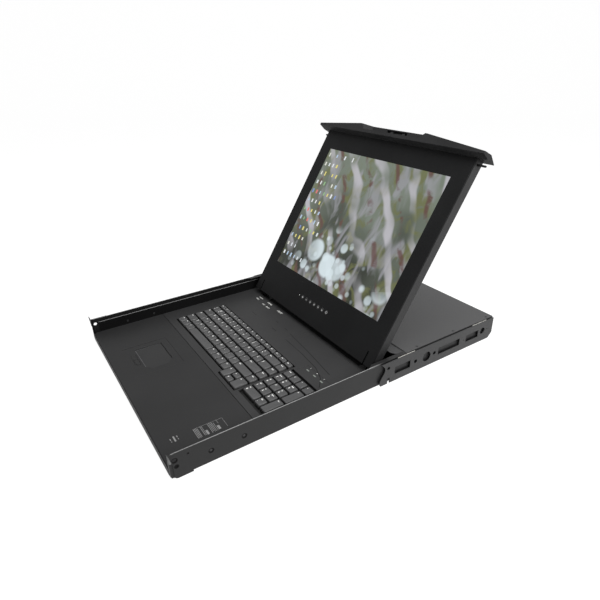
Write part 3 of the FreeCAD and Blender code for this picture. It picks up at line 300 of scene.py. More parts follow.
def powder_coat(name, color, rough, shine, grain=1500.0, edge=0.0005):
    """Powder coat: orange peel, fine flecks, a slightly uneven sheen. tone is its colour."""
    f = Finish(name, color, rough, Specular_IOR_Level=shine)
    fleck = f.noise(grain, 2.0)
    cloud = f.noise(9.0, 4.0, (1, 0.6, 1))
    patches = (fleck * 0.5 + cloud * 0.5).rise(0.34, 0.66)
    f.tone = f.mix(patches, shade(color, 0.84), shade(color, 1.18))
    f.set("Base Color", f.tone)
    f.set("Roughness", (cloud - 0.5) * 0.14 + (fleck - 0.5) * 0.1 + rough)
    f.bump(f.noise(grain * 0.4, 3.0) + fleck * 0.5, 0.22, 0.0001, edge)
    return f


def dress(names, material):
    """Gives a material to solids that stay as they are."""
    for name in names:
        nodes[name].data.materials.clear()
        nodes[name].data.materials.append(material)


f = powder_coat("tray_paint", TRAY_BLACK, 0.42, 0.28)
x, y, z = f.axes()
scuff = f.noise(70.0, 3.0)
# Painted highlight: the side plates' top edges, from the front back to about y = 45 mm, are
# painted pale, broken up by noise.
painted_edge_highlight = z.rise(PLATE_EDGE_Z, PLATE_EDGE_Z + SOFT)
painted_edge_highlight = painted_edge_highlight * x.size().rise(PLATE_EDGE_X, PLATE_EDGE_X + SOFT)
painted_edge_highlight = painted_edge_highlight * x.size().rise(OUTER_FACE + 1.5 * SOFT, OUTER_FACE + 0.5 * SOFT)
painted_edge_highlight = painted_edge_highlight * y.rise(HIGHLIGHT_TO_Y, HIGHLIGHT_TO_Y / 3)
seat_shade = None
# Painted shade: dark discs round the rivets and the latch holes, with rougher paint there.
for side, centres in SEATS:
    for cy, cz, r in centres:
        away = ((y - cy * MM).math("POWER", 2) + (z - cz * MM).math("POWER", 2)).math("POWER", 0.5)
        spot = away.rise(r * MM + 2 * SOFT, r * MM) * (x * side).rise(0, MM)
        seat_shade = spot if seat_shade is None else seat_shade.most(spot)
# Painted shade: the plates' inner faces, below their top edge, are painted in the darker inside
# black.
painted_inside_shade = x.size().rise(INNER_FACE + SOFT, INNER_FACE)
painted_inside_shade = painted_inside_shade * z.rise(PLATE_EDGE_Z + SOFT, PLATE_EDGE_Z)
coat = f.mix(seat_shade, f.mix(painted_inside_shade, f.tone, SHADED_INSIDE_BLACK), SEAT_SHADE_BLACK)
f.set("Base Color", f.mix(painted_edge_highlight * scuff.rise(0.1, 0.4), coat, HIGHLIGHT_GREY))
f.set("Roughness", seat_shade * 0.5 + scuff * 0.12 + 0.36)
dress(("side_plate_left", "side_plate_right", "latch_bracket_left", "latch_bracket_right"),
      f.material)
# The pan is painted in the darker inside black, a painted shade for the inside of the tray.
f = powder_coat("pan_paint", SHADED_INSIDE_BLACK, 0.5, 0.1)
x, _, z = f.axes()
# Painted highlight: the top edge of the pan's side walls is painted pale, broken up by noise.
painted_edge_highlight = z.rise(WALL_EDGE_Z, WALL_EDGE_Z + 1.5 * SOFT)
painted_edge_highlight = painted_edge_highlight * x.size().rise(WALL_EDGE_X - 0.5 * SOFT, WALL_EDGE_X)
f.set("Base Color", f.mix(painted_edge_highlight * f.noise(70.0, 3.0).rise(0.1, 0.4), f.tone, HIGHLIGHT_GREY))
dress(("base_pan",), f.material)
f = powder_coat("rear_panel_paint", TRAY_BLACK, 0.44, 0.5)
dress(("rear_panel",), f.material)


# ---- side rivets -------------------------------------------------------------
# Countersunk steel rivets, painted over with the tray. They show as faint dark dimples through the
# painted shade round them on the side plates.
RIVET_BLACK, RIVET_GRAIN, RIVET_EDGE = (0.016, 0.016, 0.017), 2600.0, 0.3 * MM
f = powder_coat("rivet_paint", RIVET_BLACK, 0.36, 0.5, RIVET_GRAIN, RIVET_EDGE)
dress(("side_rivets",), f.material)


# ---- rack rails and their glides ---------------------------------------------
# Pressed steel channels bolted to the rack, with length windows and a wavy
# front end, in a slightly paler coat. Nylon pads inside them carry the tray.
RAIL_BLACK, GLIDE_WHITE = (0.024, 0.024, 0.0245), (0.55, 0.54, 0.50)
f = powder_coat("rail_paint", RAIL_BLACK, 0.44, 0.36)
dress(("rail_left", "rail_right"), f.material)


def moulded(name, color, rough, shine=0.5, grain=2200.0, edge=0.0005):
    """Moulded plastic with a spark-eroded grain."""
    f = Finish(name, color, rough, Specular_IOR_Level=shine)
    fine = f.noise(grain, 2.0)
    cloud = f.noise(14.0, 3.0)
    f.tone = f.mix(cloud.rise(0.3, 0.7), shade(color, 0.88), shade(color, 1.14))
    f.set("Base Color", f.tone)
    f.set("Roughness", (cloud - 0.5) * 0.1 + (fine - 0.5) * 0.12 + rough)
    f.bump(fine, 0.2, 0.00008, edge)
    return f


dress(("rail_glides",), moulded("glide_nylon", GLIDE_WHITE, 0.5).material)


# ---- keyboard deck and palm rest ---------------------------------------------
# Two formed steel covers in a matt black coat, set into the pan. Shallow pressed lines cross the
# deck behind the keys, drawn as dark lines of painted shade.
DECK_BLACK = (0.029, 0.029, 0.0295)
PALM_SHADE, GROOVE_SHADE = 0.9, 0.2  # of the deck's black
GROOVE_HALF = 0.75
GROOVES = (  # ends of the pressed lines, x and y in mm
    ((-116, -26.5), (-99, -26.5)), ((-50, -5.8), (-44, -5.8)), ((-17, -6.5), (-7, -6.5)),
    ((-33, -26), (-18, -26)), ((24, -27), (79, -29)), ((79, -29), (132, -34)),
    ((8, -9), (84, -16)), ((84, -16), (161, -26)), ((132, -34), (160, -44)),
    ((160, -44), (180, -60)))


def pressed_lines(f, lines, half):
    """Mask that is 1 on each line between its two ends (mm)."""
    x, y, _ = f.axes()
    mask = None
    for (x0, y0), (x1, y1) in lines:
        run = math.hypot(x1 - x0, y1 - y0) * MM
        dx, dy = (x1 - x0) * MM / run, (y1 - y0) * MM / run
        px, py = x - x0 * MM, y - y0 * MM
        along = (px * dx + py * dy - run / 2).size() - run / 2
        off = (px * dy - py * dx).size().most(along)
        line = off.rise(half * MM * 1.4, half * MM * 0.5)
        mask = line if mask is None else mask.most(line)
    return mask


f = powder_coat("deck_paint", DECK_BLACK, 0.5, 0.2)
# Painted shade: the pressed lines are painted dark on the deck.
painted_groove_shade = pressed_lines(f, GROOVES, GROOVE_HALF)
f.set("Base Color", f.mix(painted_groove_shade, f.tone, shade(DECK_BLACK, GROOVE_SHADE)))
dress(("keyboard_deck",), f.material)
f = powder_coat("palm_rest_paint", shade(DECK_BLACK, PALM_SHADE), 0.5, 0.13)
dress(("palm_rest",), f.material)


# ---- touchpad and its buttons ------------------------------------------------
# A smooth grey polyester pad let into a recess of the palm rest. A painted highlight runs along
# its left and front edges, and painted shade along its right and rear edges. Two small moulded
# buttons lie in front of it.
PAD_GREY, PAD_HIGHLIGHT = (0.018, 0.018, 0.0185), (0.095, 0.095, 0.097)
PAD_SHADE, BUTTON_GREY = (0.004, 0.004, 0.004), (0.014, 0.014, 0.0143)
PAD_HIDDEN = 1.2 * MM  # the part of the pad that lies under the palm rest, on every side
f = moulded("pad_film", PAD_GREY, 0.42, 0.2)
x, y, _ = f.axes()
(x0, y0, _), (x1, y1, _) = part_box("touchpad")
# Painted highlight along the pad's left and front edges, painted shade along its right and rear
# edges.
pad_highlight = (x - x0).least(y - y0).rise(PAD_HIDDEN + 1.3 * MM, PAD_HIDDEN + 0.7 * MM)
pad_shade = (x1 - x).least(y1 - y).rise(PAD_HIDDEN + 1.5 * MM, PAD_HIDDEN + 0.8 * MM)
f.set("Base Color", f.mix(pad_shade, f.mix(pad_highlight, f.tone, PAD_HIGHLIGHT), PAD_SHADE))
dress(("touchpad",), f.material)
f = moulded("pad_buttons", BUTTON_GREY, 0.45, 0.2)
dress(("pad_button_left", "pad_button_right"), f.material)


# ---- key guide and dome sheet ------------------------------------------------
# A moulded plate guides the key stems over a sheet of rubber domes. Both show
# only as darkness between the caps.
GUIDE_BLACK, RUBBER_GREY, RUBBER_GRAIN = (0.008, 0.008, 0.008), (0.05, 0.05, 0.052), 900.0
dress(("key_guide_plate",), moulded("guide_plastic", GUIDE_BLACK, 0.6, 0.3).material)
dress(("dome_sheet",), moulded("dome_rubber", RUBBER_GREY, 0.7, 0.3, RUBBER_GRAIN).material)


# ---- key caps ----------------------------------------------------------------
# Low moulded ABS caps on square stems: tapered sides, rounded corners and a shallow dish on top.
# The legends are printed at the rear left of each cap. The skirts carry painted shade, darker than
# the tops.
CAP_TAPER_X, CAP_TAPER_Y, CAP_HEIGHT = 1.6 * MM, 1.28 * MM, 5.6 * MM
CAP_CORNER, CAP_RIM, CAP_DISH, CAP_BRIM = 1.3 * MM, 0.55 * MM, 0.25 * MM, 1.5 * MM
STEM_DEPTH, STEM_HALF, SOLE_RIM = 4.5 * MM, 2.2 * MM, 1.5 * MM
CAP_GREY, CAP_SKIRT, SKIRT_SHADE = (0.050, 0.050, 0.051), 2.0 * MM, 0.16
LEGEND_INK, INK_RISE = (0.9, 0.9, 0.88), 0.06 * MM
LETTER, WORD, BOLD = 4.6 * MM, 2.9 * MM, 0.05
LEGEND_MARGIN, LEGEND_STEP = CAP_BRIM + 0.5 * MM, 5.6 * MM
LEGENDS = {  # words of the caps, rear row first and left to right; lower/upper on one cap
    "keys_function_row": "Esc F1 F2 F3 F4 F5 F6 F7 F8 F9 F10 F11 F12 Prt Pau",
    "keys_number_row": "1/! 2/@ 3/# 4/$ 5/% 6/^ 7/& 8/* 9/( 0/) -/_ =/+ Home",
    "key_backspace": "Bksp",
    "keys_upper_row": "Tab Q W E R T Y U I O P [ ] PgUp",
    "keys_home_row": "Caps A S D F G H J K L ; PgDn",
    "key_enter": "Enter",
    "keys_lower_row": "Shift Z X C V B N M , . ? Shift End",
    "keys_bottom_row": "Ctrl Fn Alt Alt Ctrl Ins Del",
    "key_space": "",
    "keys_arrows": "^ < > v",
    "keys_numpad": "Num : * - 7/Home 8/^ 9/PgUp 4/< 5 6/> 1/End 2/v 3/PgDn ./Del",
    "key_numpad_zero": "0/Ins",
    "key_numpad_enter": "Ent",
    "key_numpad_plus": "+",
}


def cap_tops(node):
    """Flat top of each cap of a node as (x0, y0, x1, y1, z), rear row first, left to right."""
    bm = bmesh.new()
    bm.from_mesh(nodes[node].data)
    bmesh.ops.remove_doubles(bm, verts=bm.verts, dist=1e-6)
    level = max(v.co.z for v in bm.verts)
    flat = [face for face in bm.faces if all(level - v.co.z < 1e-5 for v in face.verts)]
    flat = bmesh.ops.dissolve_faces(bm, faces=flat, use_verts=False)["region"]
    tops = []
    for face in flat:
        xs, ys = [v.co.x for v in face.verts], [v.co.y for v in face.verts]
        tops.append((min(xs), min(ys), max(xs), max(ys), level))
    bm.free()
    return sorted(tops, key=lambda t: (-round((t[1] + t[3]) / 2, 4), t[0]))


def key_cap(x0, y0, x1, y1, z):
    """One cap with its stem."""
    bm = bmesh.new()
    bmesh.ops.create_cube(bm, size=2)
    for v in bm.verts:
        out = 0 if v.co.z > 0 else 1
        v.co = ((x0 - out * CAP_TAPER_X) if v.co.x < 0 else (x1 + out * CAP_TAPER_X),
                (y0 - out * CAP_TAPER_Y) if v.co.y < 0 else (y1 + out * CAP_TAPER_Y),
                z - out * CAP_HEIGHT)
    upright = [e for e in bm.edges if abs(e.verts[0].co.z - e.verts[1].co.z) > CAP_HEIGHT / 2]
    bmesh.ops.bevel(bm, geom=upright, offset=CAP_CORNER, offset_type="OFFSET", affect="EDGES",
                    segments=2, profile=0.5, material=-1)
    bm.normal_update()
    crown = max(bm.faces, key=lambda face: face.normal.z)
    bmesh.ops.bevel(bm, geom=list(crown.edges), offset=CAP_RIM, offset_type="OFFSET",
                    affect="EDGES", segments=2, profile=0.5, material=-1)
    bm.normal_update()
    crown = max(bm.faces, key=lambda face: (round(face.normal.z, 3), face.calc_area()))
    bmesh.ops.inset_region(bm, faces=[crown], thickness=CAP_BRIM)
    bmesh.ops.translate(bm, vec=(0, 0, -CAP_DISH), verts=crown.verts)
    sole = min(bm.faces, key=lambda face: (round(face.normal.z, 3), -face.calc_area()))
    middle = sole.calc_center_bounds()
    bmesh.ops.inset_region(bm, faces=[sole], thickness=SOLE_RIM)
    drop = bmesh.ops.extrude_discrete_faces(bm, faces=[sole])["faces"][0]
    for v in drop.verts:
        v.co.x = middle.x + max(-STEM_HALF, min(STEM_HALF, v.co.x - middle.x))
        v.co.y = middle.y + max(-STEM_HALF, min(STEM_HALF, v.co.y - middle.y))
        v.co.z = z - CAP_HEIGHT - STEM_DEPTH
    return bm


def gather(parts, name):
    """Joins several bmeshes into one object."""
    whole = bmesh.new()
    for part in parts:
        mesh = bpy.data.meshes.new("part")
        part.to_mesh(mesh)
        part.free()
        whole.from_mesh(mesh)
        bpy.data.meshes.remove(mesh)
    return keep(whole, name)


def lettering(text, size, place, align="LEFT"):
    """Flat printed lettering, a text curve turned into faces and then set in place."""
    curve = bpy.data.curves.new("print", "FONT")
    curve.body = text
    curve.size = size
    curve.align_x = align
    curve.align_y = "TOP"
    curve.resolution_u = 2
    curve.offset = size * BOLD
    obj = bpy.data.objects.new("print", curve)
    mesh = bpy.data.meshes.new_from_object(obj)
    mesh.transform(place)
    bm = bmesh.new()
    bm.from_mesh(mesh)
    bpy.data.objects.remove(obj)
    bpy.data.curves.remove(curve)
    bpy.data.meshes.remove(mesh)
    return bm


def ink(name, color, rough=0.6):
    """Screen-printed ink, a little uneven."""
    f = Finish(name, color, rough)
    thin = f.noise(700.0, 2.0).rise(0.3, 0.7)
    f.set("Base Color", f.mix(thin, shade(color, 0.88), shade(color, 1.08)))
    return f.material


f = moulded("key_plastic", CAP_GREY, 0.4, 0.5, 2600.0, 0.0003)
_, _, z = f.axes()
cap_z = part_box("key_space")[1][2]
# Painted shade: each cap is darker below its top, on the skirt.
lit = z.rise(cap_z - CAP_SKIRT, cap_z - CAP_RIM)
f.set("Base Color", f.mix(lit, shade(CAP_GREY, SKIRT_SHADE), f.tone))
cap_plastic = f.material
legend_ink = ink("legend_ink", LEGEND_INK)
for node, words in LEGENDS.items():
    tops = cap_tops(node)
    caps = gather([key_cap(*top) for top in tops], "caps_" + node.split("_", 1)[1])
    caps.data.set_sharp_from_angle(angle=math.radians(40))
    for face in caps.data.polygons:
        face.use_smooth = True
    caps.data.materials.append(cap_plastic)
    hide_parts(node)
    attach(caps, node)
    prints = []
    for words_on_cap, (x0, y0, x1, y1, z) in zip(words.split(), tops):
        drop = LEGEND_MARGIN
        for word in reversed(words_on_cap.split("/")):
            size = LETTER if len(word) == 1 else WORD
            spot = Matrix.Translation((x0 + LEGEND_MARGIN, y1 - drop, z - CAP_DISH + INK_RISE))
            prints.append(lettering(word, size, spot))
            drop += LEGEND_STEP
    if prints:
        marks = gather(prints, "legends_" + node.split("_", 1)[1])
        marks.data.materials.append(legend_ink)
        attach(marks, node)


# ---- indicator lamps and deck prints -----------------------------------------
# Three pale diffusing lenses in the deck, with a white mark behind each, and
# two rows of small printed marks at the rear left of the deck.
LENS_GREY, PRINT_WHITE, PRINT_RISE = (0.20, 0.22, 0.20), (0.60, 0.60, 0.58), 0.05 * MM
DECK_PRINTS = (  # words, left end x and top y in mm, letter height in mm
    ("POWER", -170, 23, 4.2), ("RESET", -170, 15, 4.2), ("SIGNAL", -135, 25, 5.2),
    ("EXIT", -137, 12, 4.2), ("SELECT", -121, 12, 4.2), ("ADJUST", -90, 23, 5.2),
    ("1", 127, -40, 3.2), ("A", 146, -40, 3.2), ("S", 167, -40, 3.2))
f = moulded("lamp_lens", LENS_GREY, 0.25)
dress(("indicator_lamps",), f.material)
print_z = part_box("keyboard_deck")[1][2] + PRINT_RISE
prints = [lettering(word, size * MM, Matrix.Translation((x * MM, y * MM, print_z)))
          for word, x, y, size in DECK_PRINTS]
marks = gather(prints, "deck_prints")
marks.data.materials.append(ink("deck_ink", PRINT_WHITE))
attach(marks, "drawer")


# ---- blank rating labels -----------------------------------------------------
# Two clear films at the palm rest's front right corner, a ruled one and a small
# round one, printed with plain grey bars in place of words.
LABEL_GREY = (0.25, 0.25, 0.25)
RULED_AT, ROUND_AT = (158.0, -271.0), (161.0, -300.0)
RULED_BARS = (  # ends in x and y from the film's own point, in mm
    (0, 0, 22, 0.7), (0, 1.9, 22, 2.6), (0, 3.8, 22, 4.5), (1, 5.6, 21, 6.3),
    (0, 10.5, 21, 11.2), (0, 12.6, 22, 13.2), (12, 14.4, 22, 17.6), (0, 22, 22, 22.7),
    (0, 24.1, 20, 24.7), (0, 26.0, 22, 26.6), (0, 27.9, 22, 28.6), (3, 30.4, 22, 31.0),
    (12, 32.4, 21, 36.2), (0, 36.6, 8, 37.1), (0, 45.9, 21, 46.3), (-0.6, 0, -0.2, 46.3))
ROUND_BARS = ((-6, -1.0, 6, 1.2), (-5, 4.2, -1, 5.6), (1.5, 4.6, 4, 5.6),
              (-3, -6.2, 1, -4.8), (3, -5.8, 5, -4.6))
bm = bmesh.new()
palm_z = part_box("palm_rest")[1][2] + PRINT_RISE
for (left, low), bars in ((RULED_AT, RULED_BARS), (ROUND_AT, ROUND_BARS)):
    for x0, y0, x1, y1 in bars:
        middle = ((left + (x0 + x1) / 2) * MM, (low + (y0 + y1) / 2) * MM, palm_z)
        halves = Matrix.Diagonal(((x1 - x0) / 2 * MM, (y1 - y0) / 2 * MM, 1, 1))
        bmesh.ops.create_grid(bm, x_segments=1, y_segments=1, size=1,
                              matrix=Matrix.Translation(middle) @ halves)
label = keep(bm, "rating_label_bars")
label.data.materials.append(ink("label_grey", LABEL_GREY))
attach(label, "drawer")


# ---- screen hinges -----------------------------------------------------------
# Pressed steel brackets on the pan, steel pins and the two arms that carry the
# screen shell, all in a thin satin black.
HINGE_BLACK, HINGE_GRAIN, HINGE_EDGE = (0.010, 0.010, 0.0105), 2600.0, 0.3 * MM
f = powder_coat("hinge_paint", HINGE_BLACK, 0.42, 0.4, HINGE_GRAIN, HINGE_EDGE)
dress(("hinge_bracket_left", "hinge_bracket_right", "hinge_pins",
       "screen_arm_left", "screen_arm_right"), f.material)


# ---- screen shell and bezel --------------------------------------------------
# Two moulded halves with a fine grain, joined round the display panel. They lean
# back on the hinge; the plane of their face carries the buttons and the picture.
BEZEL_BLACK, SHELL_BLACK = (0.0115, 0.0117, 0.012), (0.020, 0.020, 0.0205)
LEAN = math.radians(32.3)
HINGE_V, HINGE_W = 13.55 * MM, 9.85 * MM  # hinge line above the shell's foot, behind its face
f = moulded("bezel_plastic", BEZEL_BLACK, 0.55, 0.06)
dress(("screen_bezel",), f.material)
f = moulded("shell_plastic", SHELL_BLACK, 0.5, 0.3)
dress(("screen_back",), f.material)
up_face = Vector((0, math.sin(LEAN), math.cos(LEAN)))
out_face = Vector((0, -math.cos(LEAN), math.sin(LEAN)))
hinge = Vector(next(j for j in frame["joints"] if j["name"] == "screen_hinge")["pos_m"])
origin = hinge - up_face * HINGE_V + out_face * HINGE_W
face_axes = Matrix((Vector((1, 0, 0)), up_face, out_face)).transposed()
face_plane = Matrix.Translation(origin) @ face_axes.to_4x4()
to_face = face_plane.inverted()


def front_of(node):
    """How far a node reaches out of the screen's face."""
    return max((to_face @ v.co).z for v in nodes[node].data.vertices)


# ---- picture buttons and lamp ------------------------------------------------
# Seven round moulded caps on a small board inside, each printed with one white
# sign, and a pinhole lamp at their left.
BUTTON_V, BUTTON_U0, BUTTON_STEP = 39.6, -36.4, 13.65  # mm on the screen's face
LAMP_U, LAMP_R, LAMP_WHITE = -48.5, 1.1, (0.75, 0.77, 0.74)
CAP_BLACK, SIGN_WHITE = (0.013, 0.013, 0.0135), (0.62, 0.62, 0.62)
SIGNS, SIGN_HEIGHT, SIGN_UP = "= - + < > o", 5.6, 2.2
POWER_IN, POWER_OUT, POWER_GAP = 2.0, 2.7, math.radians(70)
BAR_HALF, BAR_MIDDLE, BAR_REACH, ROUND_STEPS = 0.35, 2.1, 1.3, 20
f = moulded("button_plastic", CAP_BLACK, 0.45, 0.35)
dress(["osd_button_%d" % i for i in range(1, 8)], f.material)
sign_ink = ink("sign_ink", SIGN_WHITE)
for i, sign in enumerate(SIGNS.split()):
    u = BUTTON_U0 + BUTTON_STEP * i
    node = "osd_button_%d" % (i + 1)
    spot = face_plane @ Matrix.Translation((u * MM, (BUTTON_V + SIGN_UP) * MM,
                                            front_of(node) + PRINT_RISE))
    letter = lettering(sign, SIGN_HEIGHT * MM, spot, "CENTER")
    sign_piece = gather([letter], "sign_%d" % (i + 1))
    sign_piece.data.materials.append(sign_ink)
    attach(sign_piece, node)


def ring(inner, outer, gap):
    """A flat ring in the XY plane, open at the top by gap radians."""
    bm = bmesh.new()
    along = (math.sin(gap / 2), math.cos(gap / 2))
    start = [bm.verts.new((r * along[0], r * along[1], 0)) for r in (inner, outer)]
    line = bm.edges.new(start)
    bmesh.ops.spin(bm, geom=start + [line], cent=(0, 0, 0), axis=(0, 0, -1),
                   angle=2 * math.pi - gap, steps=ROUND_STEPS)
    bmesh.ops.recalc_face_normals(bm, faces=bm.faces)
    for face in bm.faces:
        if face.normal.z < 0:
            face.normal_flip()
    return bm


power = ring(POWER_IN * MM, POWER_OUT * MM, POWER_GAP)
for v in bmesh.ops.create_grid(power, x_segments=1, y_segments=1, size=1)["verts"]:
    v.co = (v.co.x * BAR_HALF * MM, (BAR_MIDDLE + v.co.y * BAR_REACH) * MM, 0)
node = "osd_button_7"
spot = face_plane @ Matrix.Translation(((BUTTON_U0 + BUTTON_STEP * 6) * MM, BUTTON_V * MM,
                                        front_of(node) + PRINT_RISE))
bmesh.ops.transform(power, matrix=spot, verts=power.verts)
sign_piece = keep(power, "sign_7")
sign_piece.data.materials.append(sign_ink)
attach(sign_piece, node)
dot = bmesh.new()
bmesh.ops.create_circle(dot, cap_ends=True, segments=ROUND_STEPS, radius=LAMP_R * MM)
spot = face_plane @ Matrix.Translation((LAMP_U * MM, BUTTON_V * MM,
                                        front_of("screen_bezel") + PRINT_RISE))
bmesh.ops.transform(dot, matrix=spot, verts=dot.verts)
for face in dot.faces:
    if face.normal.dot(out_face) < 0:
        face.normal_flip()
lamp_dot = keep(dot, "picture_lamp")
f = moulded("picture_lamp_lens", LAMP_WHITE, 0.25)
lamp_dot.data.materials.append(f.material)
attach(lamp_dot, "screen")


# ---- boards ------------------------------------------------------------------
# Green glass-fibre boards with paler tracks: one behind the picture buttons, one
# for the video circuit and the open power supply in the rear housing.
LAMINATE, LACQUER, TRACK = (0.02, 0.12, 0.05), (0.015, 0.10, 0.04), (0.04, 0.2, 0.09)
f = Finish("board_laminate", LAMINATE, 0.35)
weave = f.noise(260.0, 1.0, (1, 6, 1))
track = f.noise(420.0, 0.0, (5, 1, 1))
f.set("Base Color", f.mix((track + weave).rise(0.95, 1.1), LACQUER, TRACK))
f.set("Roughness", weave * 0.2 + 0.28)
f.bump(track, 0.2, 0.00005, 0.0002)
dress(("osd_board", "video_board", "power_supply"), f.material)


# ---- display panel and its picture -------------------------------------------
# A 17-inch liquid-crystal panel with a matt front film. It shows a desktop: a soft,
# out-of-focus garden picture and columns of small coloured program signs.
PICTURE_U, PICTURE_V0, PICTURE_V1, PICTURE_RISE = 169.2, 76.0, 346.8, 0.15 * MM
FILM_BLACK, FILM_GRAIN = (0.006, 0.006, 0.007), 3000.0
WIDE = (1.25, 1, 1)  # evens out the picture's width and height
DUSK, MIST, LEAF, LILAC = ((0.012, 0.016, 0.008), (0.16, 0.19, 0.15), (0.13, 0.14, 0.045),
                           (0.30, 0.30, 0.33))
BLADE, STALK, GLINT = (0.47, 0.46, 0.50), (0.10, 0.035, 0.035), (0.66, 0.76, 0.80)
GLINTS = (  # cells across, where a disc ends, where it is full, its strength
    (5.0, 0.50, 0.36, 0.9), (9.0, 0.42, 0.26, 0.75), (15.0, 0.4, 0.2, 0.6))
f = moulded("display_film", FILM_BLACK, 0.2, 0.5, FILM_GRAIN)
dress(("display_module",), f.material)
bm = bmesh.new()
bm.loops.layers.uv.new("picture")
bmesh.ops.create_grid(bm, x_segments=1, y_segments=1, size=1, calc_uvs=True)
middle, half = (PICTURE_V0 + PICTURE_V1) / 2 * MM, (PICTURE_V1 - PICTURE_V0) / 2 * MM
picture_w = front_of("display_module") + PICTURE_RISE
for v in bm.verts:
    v.co = face_plane @ Vector((v.co.x * PICTURE_U * MM, middle + v.co.y * half, picture_w))
picture = keep(bm, "screen_picture")
f = Finish("desktop_picture", (0, 0, 0), 0.25, Specular_IOR_Level=0.3, Emission_Strength=1.0)
across, up, _ = f.axes("UV")
flat = f.node("ShaderNodeMapping", None, {0: f.place("UV"), "Scale": WIDE})
turned = f.node("ShaderNodeMapping", None, {0: f.place("UV"), "Scale": WIDE,
                                            "Rotation": (0, 0, math.radians(-38))})
haze = f.noise(2.6, 2.0, WIDE, "UV", 0.3)
leaf = f.noise(7.0, 3.0, WIDE, "UV", 1.2)
frost = f.noise(5.0, 2.0, (2.4, 0.7, 1), "UV", 0.8)
blade = f.node("ShaderNodeTexWave", {"bands_direction": "X"},
               {"Vector": turned, "Scale": 1.3, "Distortion": 4.0, "Detail": 2.0,
                "Detail Scale": 1.6}, "Fac")
tone = f.mix((up * 0.5 + haze * 0.9).rise(0.35, 0.95), DUSK, MIST)
tone = f.mix(leaf.rise(0.46, 0.66) * 0.85, tone, LEAF)
tone = f.mix(frost.rise(0.5, 0.68) * 0.7, tone, LILAC)
tone = f.mix(blade.rise(0.72, 0.95) * haze.rise(0.35, 0.6) * 0.9, tone, BLADE)
tone = f.mix(blade.rise(0.12, 0.0) * leaf.rise(0.4, 0.6) * 0.8, tone, STALK)
low_middle = f.noise(2.2, 1.0, WIDE, "UV") * 0.6 - up * 0.5 - (across - 0.55).size() * 0.35
low_middle = (low_middle + 0.62).rise(0.5, 0.85)
for scale, end, full, strength in GLINTS:
    cell = f.node("ShaderNodeTexVoronoi", {"feature": "F1"}, {"Vector": flat, "Scale": scale},
                  "Distance")
    pick = f.node("ShaderNodeSeparateColor", None, {0: cell.also("Color")})
    disc = cell.rise(end, full) * (pick * 0.55 + low_middle * 0.6).rise(0.6, 0.95)
    tone = f.mix(disc * strength, tone, GLINT)
f.set("Emission Color", tone)
picture.data.materials.append(f.material)
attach(picture, "screen")

SIGN_COLUMNS, SIGN_ROWS, SIGN_RISE = 7, 12, 0.1 * MM
SIGN_U0, SIGN_V0, SIGN_STEP_U, SIGN_STEP_V = -161.0, 334.0, 13.0, 21.0
SIGN_MISSING, SIGN_SHIFT, SIGN_HALF_W, SIGN_HALF_H = 0.12, 0.6, (1.6, 2.6), (3.2, 4.6)
SIGN_DIM = (0.25, 0.27, 0.25)
SIGN_COLORS = ((0.85, 0.87, 0.9), (0.75, 0.8, 0.85), (0.8, 0.8, 0.72), (0.45, 0.6, 0.8),
               (0.75, 0.12, 0.10), (0.80, 0.70, 0.15), (0.15, 0.25, 0.6), (0.25, 0.5, 0.2))
draw = random.Random(7)
bm = bmesh.new()
tint = bm.loops.layers.float_color.new("tint")
for i in range(SIGN_ROWS):
    for j in range(SIGN_COLUMNS - (i * 3) % 4):
        if draw.random() < SIGN_MISSING:
            continue
        color = draw.choice(SIGN_COLORS)
        u = SIGN_U0 + SIGN_STEP_U * j + draw.uniform(-SIGN_SHIFT, SIGN_SHIFT)
        w, h = draw.uniform(*SIGN_HALF_W), draw.uniform(*SIGN_HALF_H)
        place = Matrix.Translation((u * MM, (SIGN_V0 - SIGN_STEP_V * i) * MM,
                                    picture_w + SIGN_RISE))
        tile = bmesh.ops.create_grid(bm, x_segments=1, y_segments=1, size=1,
                                     matrix=face_plane @ place @ Matrix.Diagonal(
                                         (w * MM, h * MM, 1, 1)))
        for corner in tile["verts"]:
            for loop in corner.link_loops:
                loop[tint] = (*color, 1)
signs = keep(bm, "program_signs")
f = Finish("program_sign_light", (0, 0, 0), 0.4, Emission_Strength=1.0)
shown = f.node("ShaderNodeVertexColor", {"layer_name": "tint"})
f.set("Emission Color", f.mix(f.noise(900.0, 1.0).rise(0.35, 0.65) * 0.4, shown, SIGN_DIM))
signs.data.materials.append(f.material)
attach(signs, "screen")


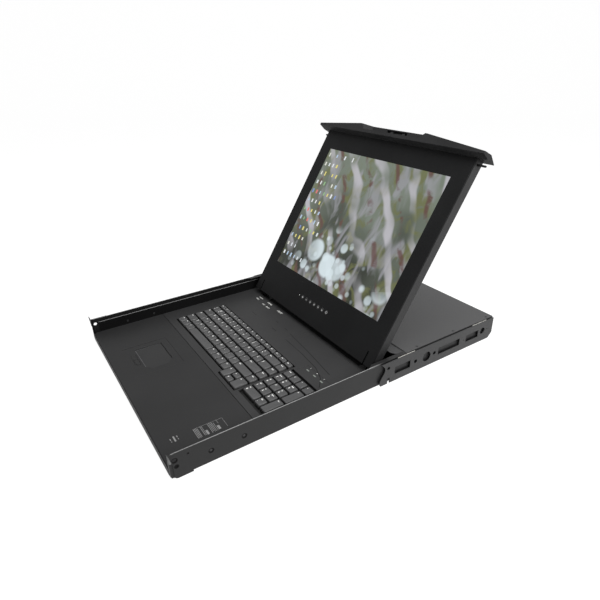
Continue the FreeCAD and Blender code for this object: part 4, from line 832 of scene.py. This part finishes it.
# ---- front panel and pinch latches -------------------------------------------
# The faceted panel that closes the drawer, moulded with a hand pocket. Two black
# steel slides behind it are pinched together in the pocket's slot to unlatch it.
PANEL_BLACK, SLIDE_BLACK = (0.025, 0.025, 0.0255), (0.012, 0.012, 0.012)
SLIDE_DARK, SLIDE_RUBBED = (0.009, 0.009, 0.009), (0.02, 0.02, 0.021)
f = moulded("panel_plastic", PANEL_BLACK, 0.55, 0.08)
dress(("front_panel",), f.material)
f = Finish("latch_black", SLIDE_BLACK, 0.4, Specular_IOR_Level=0.3)
rub = f.noise(60.0, 3.0, (1, 8, 8))
f.set("Base Color", f.mix(rub.rise(0.4, 0.75), SLIDE_DARK, SLIDE_RUBBED))
f.set("Roughness", rub * 0.2 + 0.32)
f.bump(rub, 0.15, 0.00005, 0.0003)
dress(("latch_slide_left", "latch_slide_right"), f.material)


# ---- housing cover, shroud and screws ----------------------------------------
# Flat steel lid over the electronics, held by six countersunk screws, and a plate
# that closes the space between lid and hinge. Both carry the tray's coat, smoother.
COVER_BLACK, SHROUD_BLACK = (0.046, 0.046, 0.047), (0.030, 0.030, 0.031)
SCREW_BLACK, SCREW_DARK, SCREW_PALE = ((0.05, 0.05, 0.052), (0.035, 0.035, 0.036),
                                       (0.08, 0.08, 0.082))
f = powder_coat("cover_paint", COVER_BLACK, 0.46, 0.5)
dress(("top_cover",), f.material)
f = powder_coat("shroud_paint", SHROUD_BLACK, 0.46, 0.5)
dress(("hinge_shroud",), f.material)
f = Finish("screw_black", SCREW_BLACK, 0.35, Metallic=1.0)
turned = f.noise(900.0, 2.0)
f.set("Base Color", f.mix(turned.rise(0.3, 0.7), SCREW_DARK, SCREW_PALE))
f.set("Roughness", turned * 0.2 + 0.26)
f.bump(turned, 0.15, 0.00005, 0.0002)
dress(("cover_screws",), f.material)


# ---- mains inlet and console sockets -----------------------------------------
# A black moulded inlet with three flat blades, and plated steel socket shells
# with dark cores, fixed in the rear panel.
INLET_BLACK = (0.012, 0.012, 0.012)
PLATED, PLATED_DULL, PLATED_BRIGHT = (0.5, 0.5, 0.51), (0.4, 0.4, 0.41), (0.6, 0.6, 0.61)
dress(("mains_inlet",), moulded("inlet_plastic", INLET_BLACK, 0.45, 0.4).material)
f = Finish("socket_shell", PLATED, 0.28, Metallic=1.0)
grain = f.noise(40.0, 4.0, (1, 60, 60))
f.set("Base Color", f.mix(f.noise(60.0, 3.0).rise(0.3, 0.75), PLATED_DULL, PLATED_BRIGHT))
f.set("Roughness", (grain - 0.5) * 0.25 + 0.28)
f.bump(grain, 0.15, 0.00005, 0.0003)
dress(("console_ports",), f.material)


low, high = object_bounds()
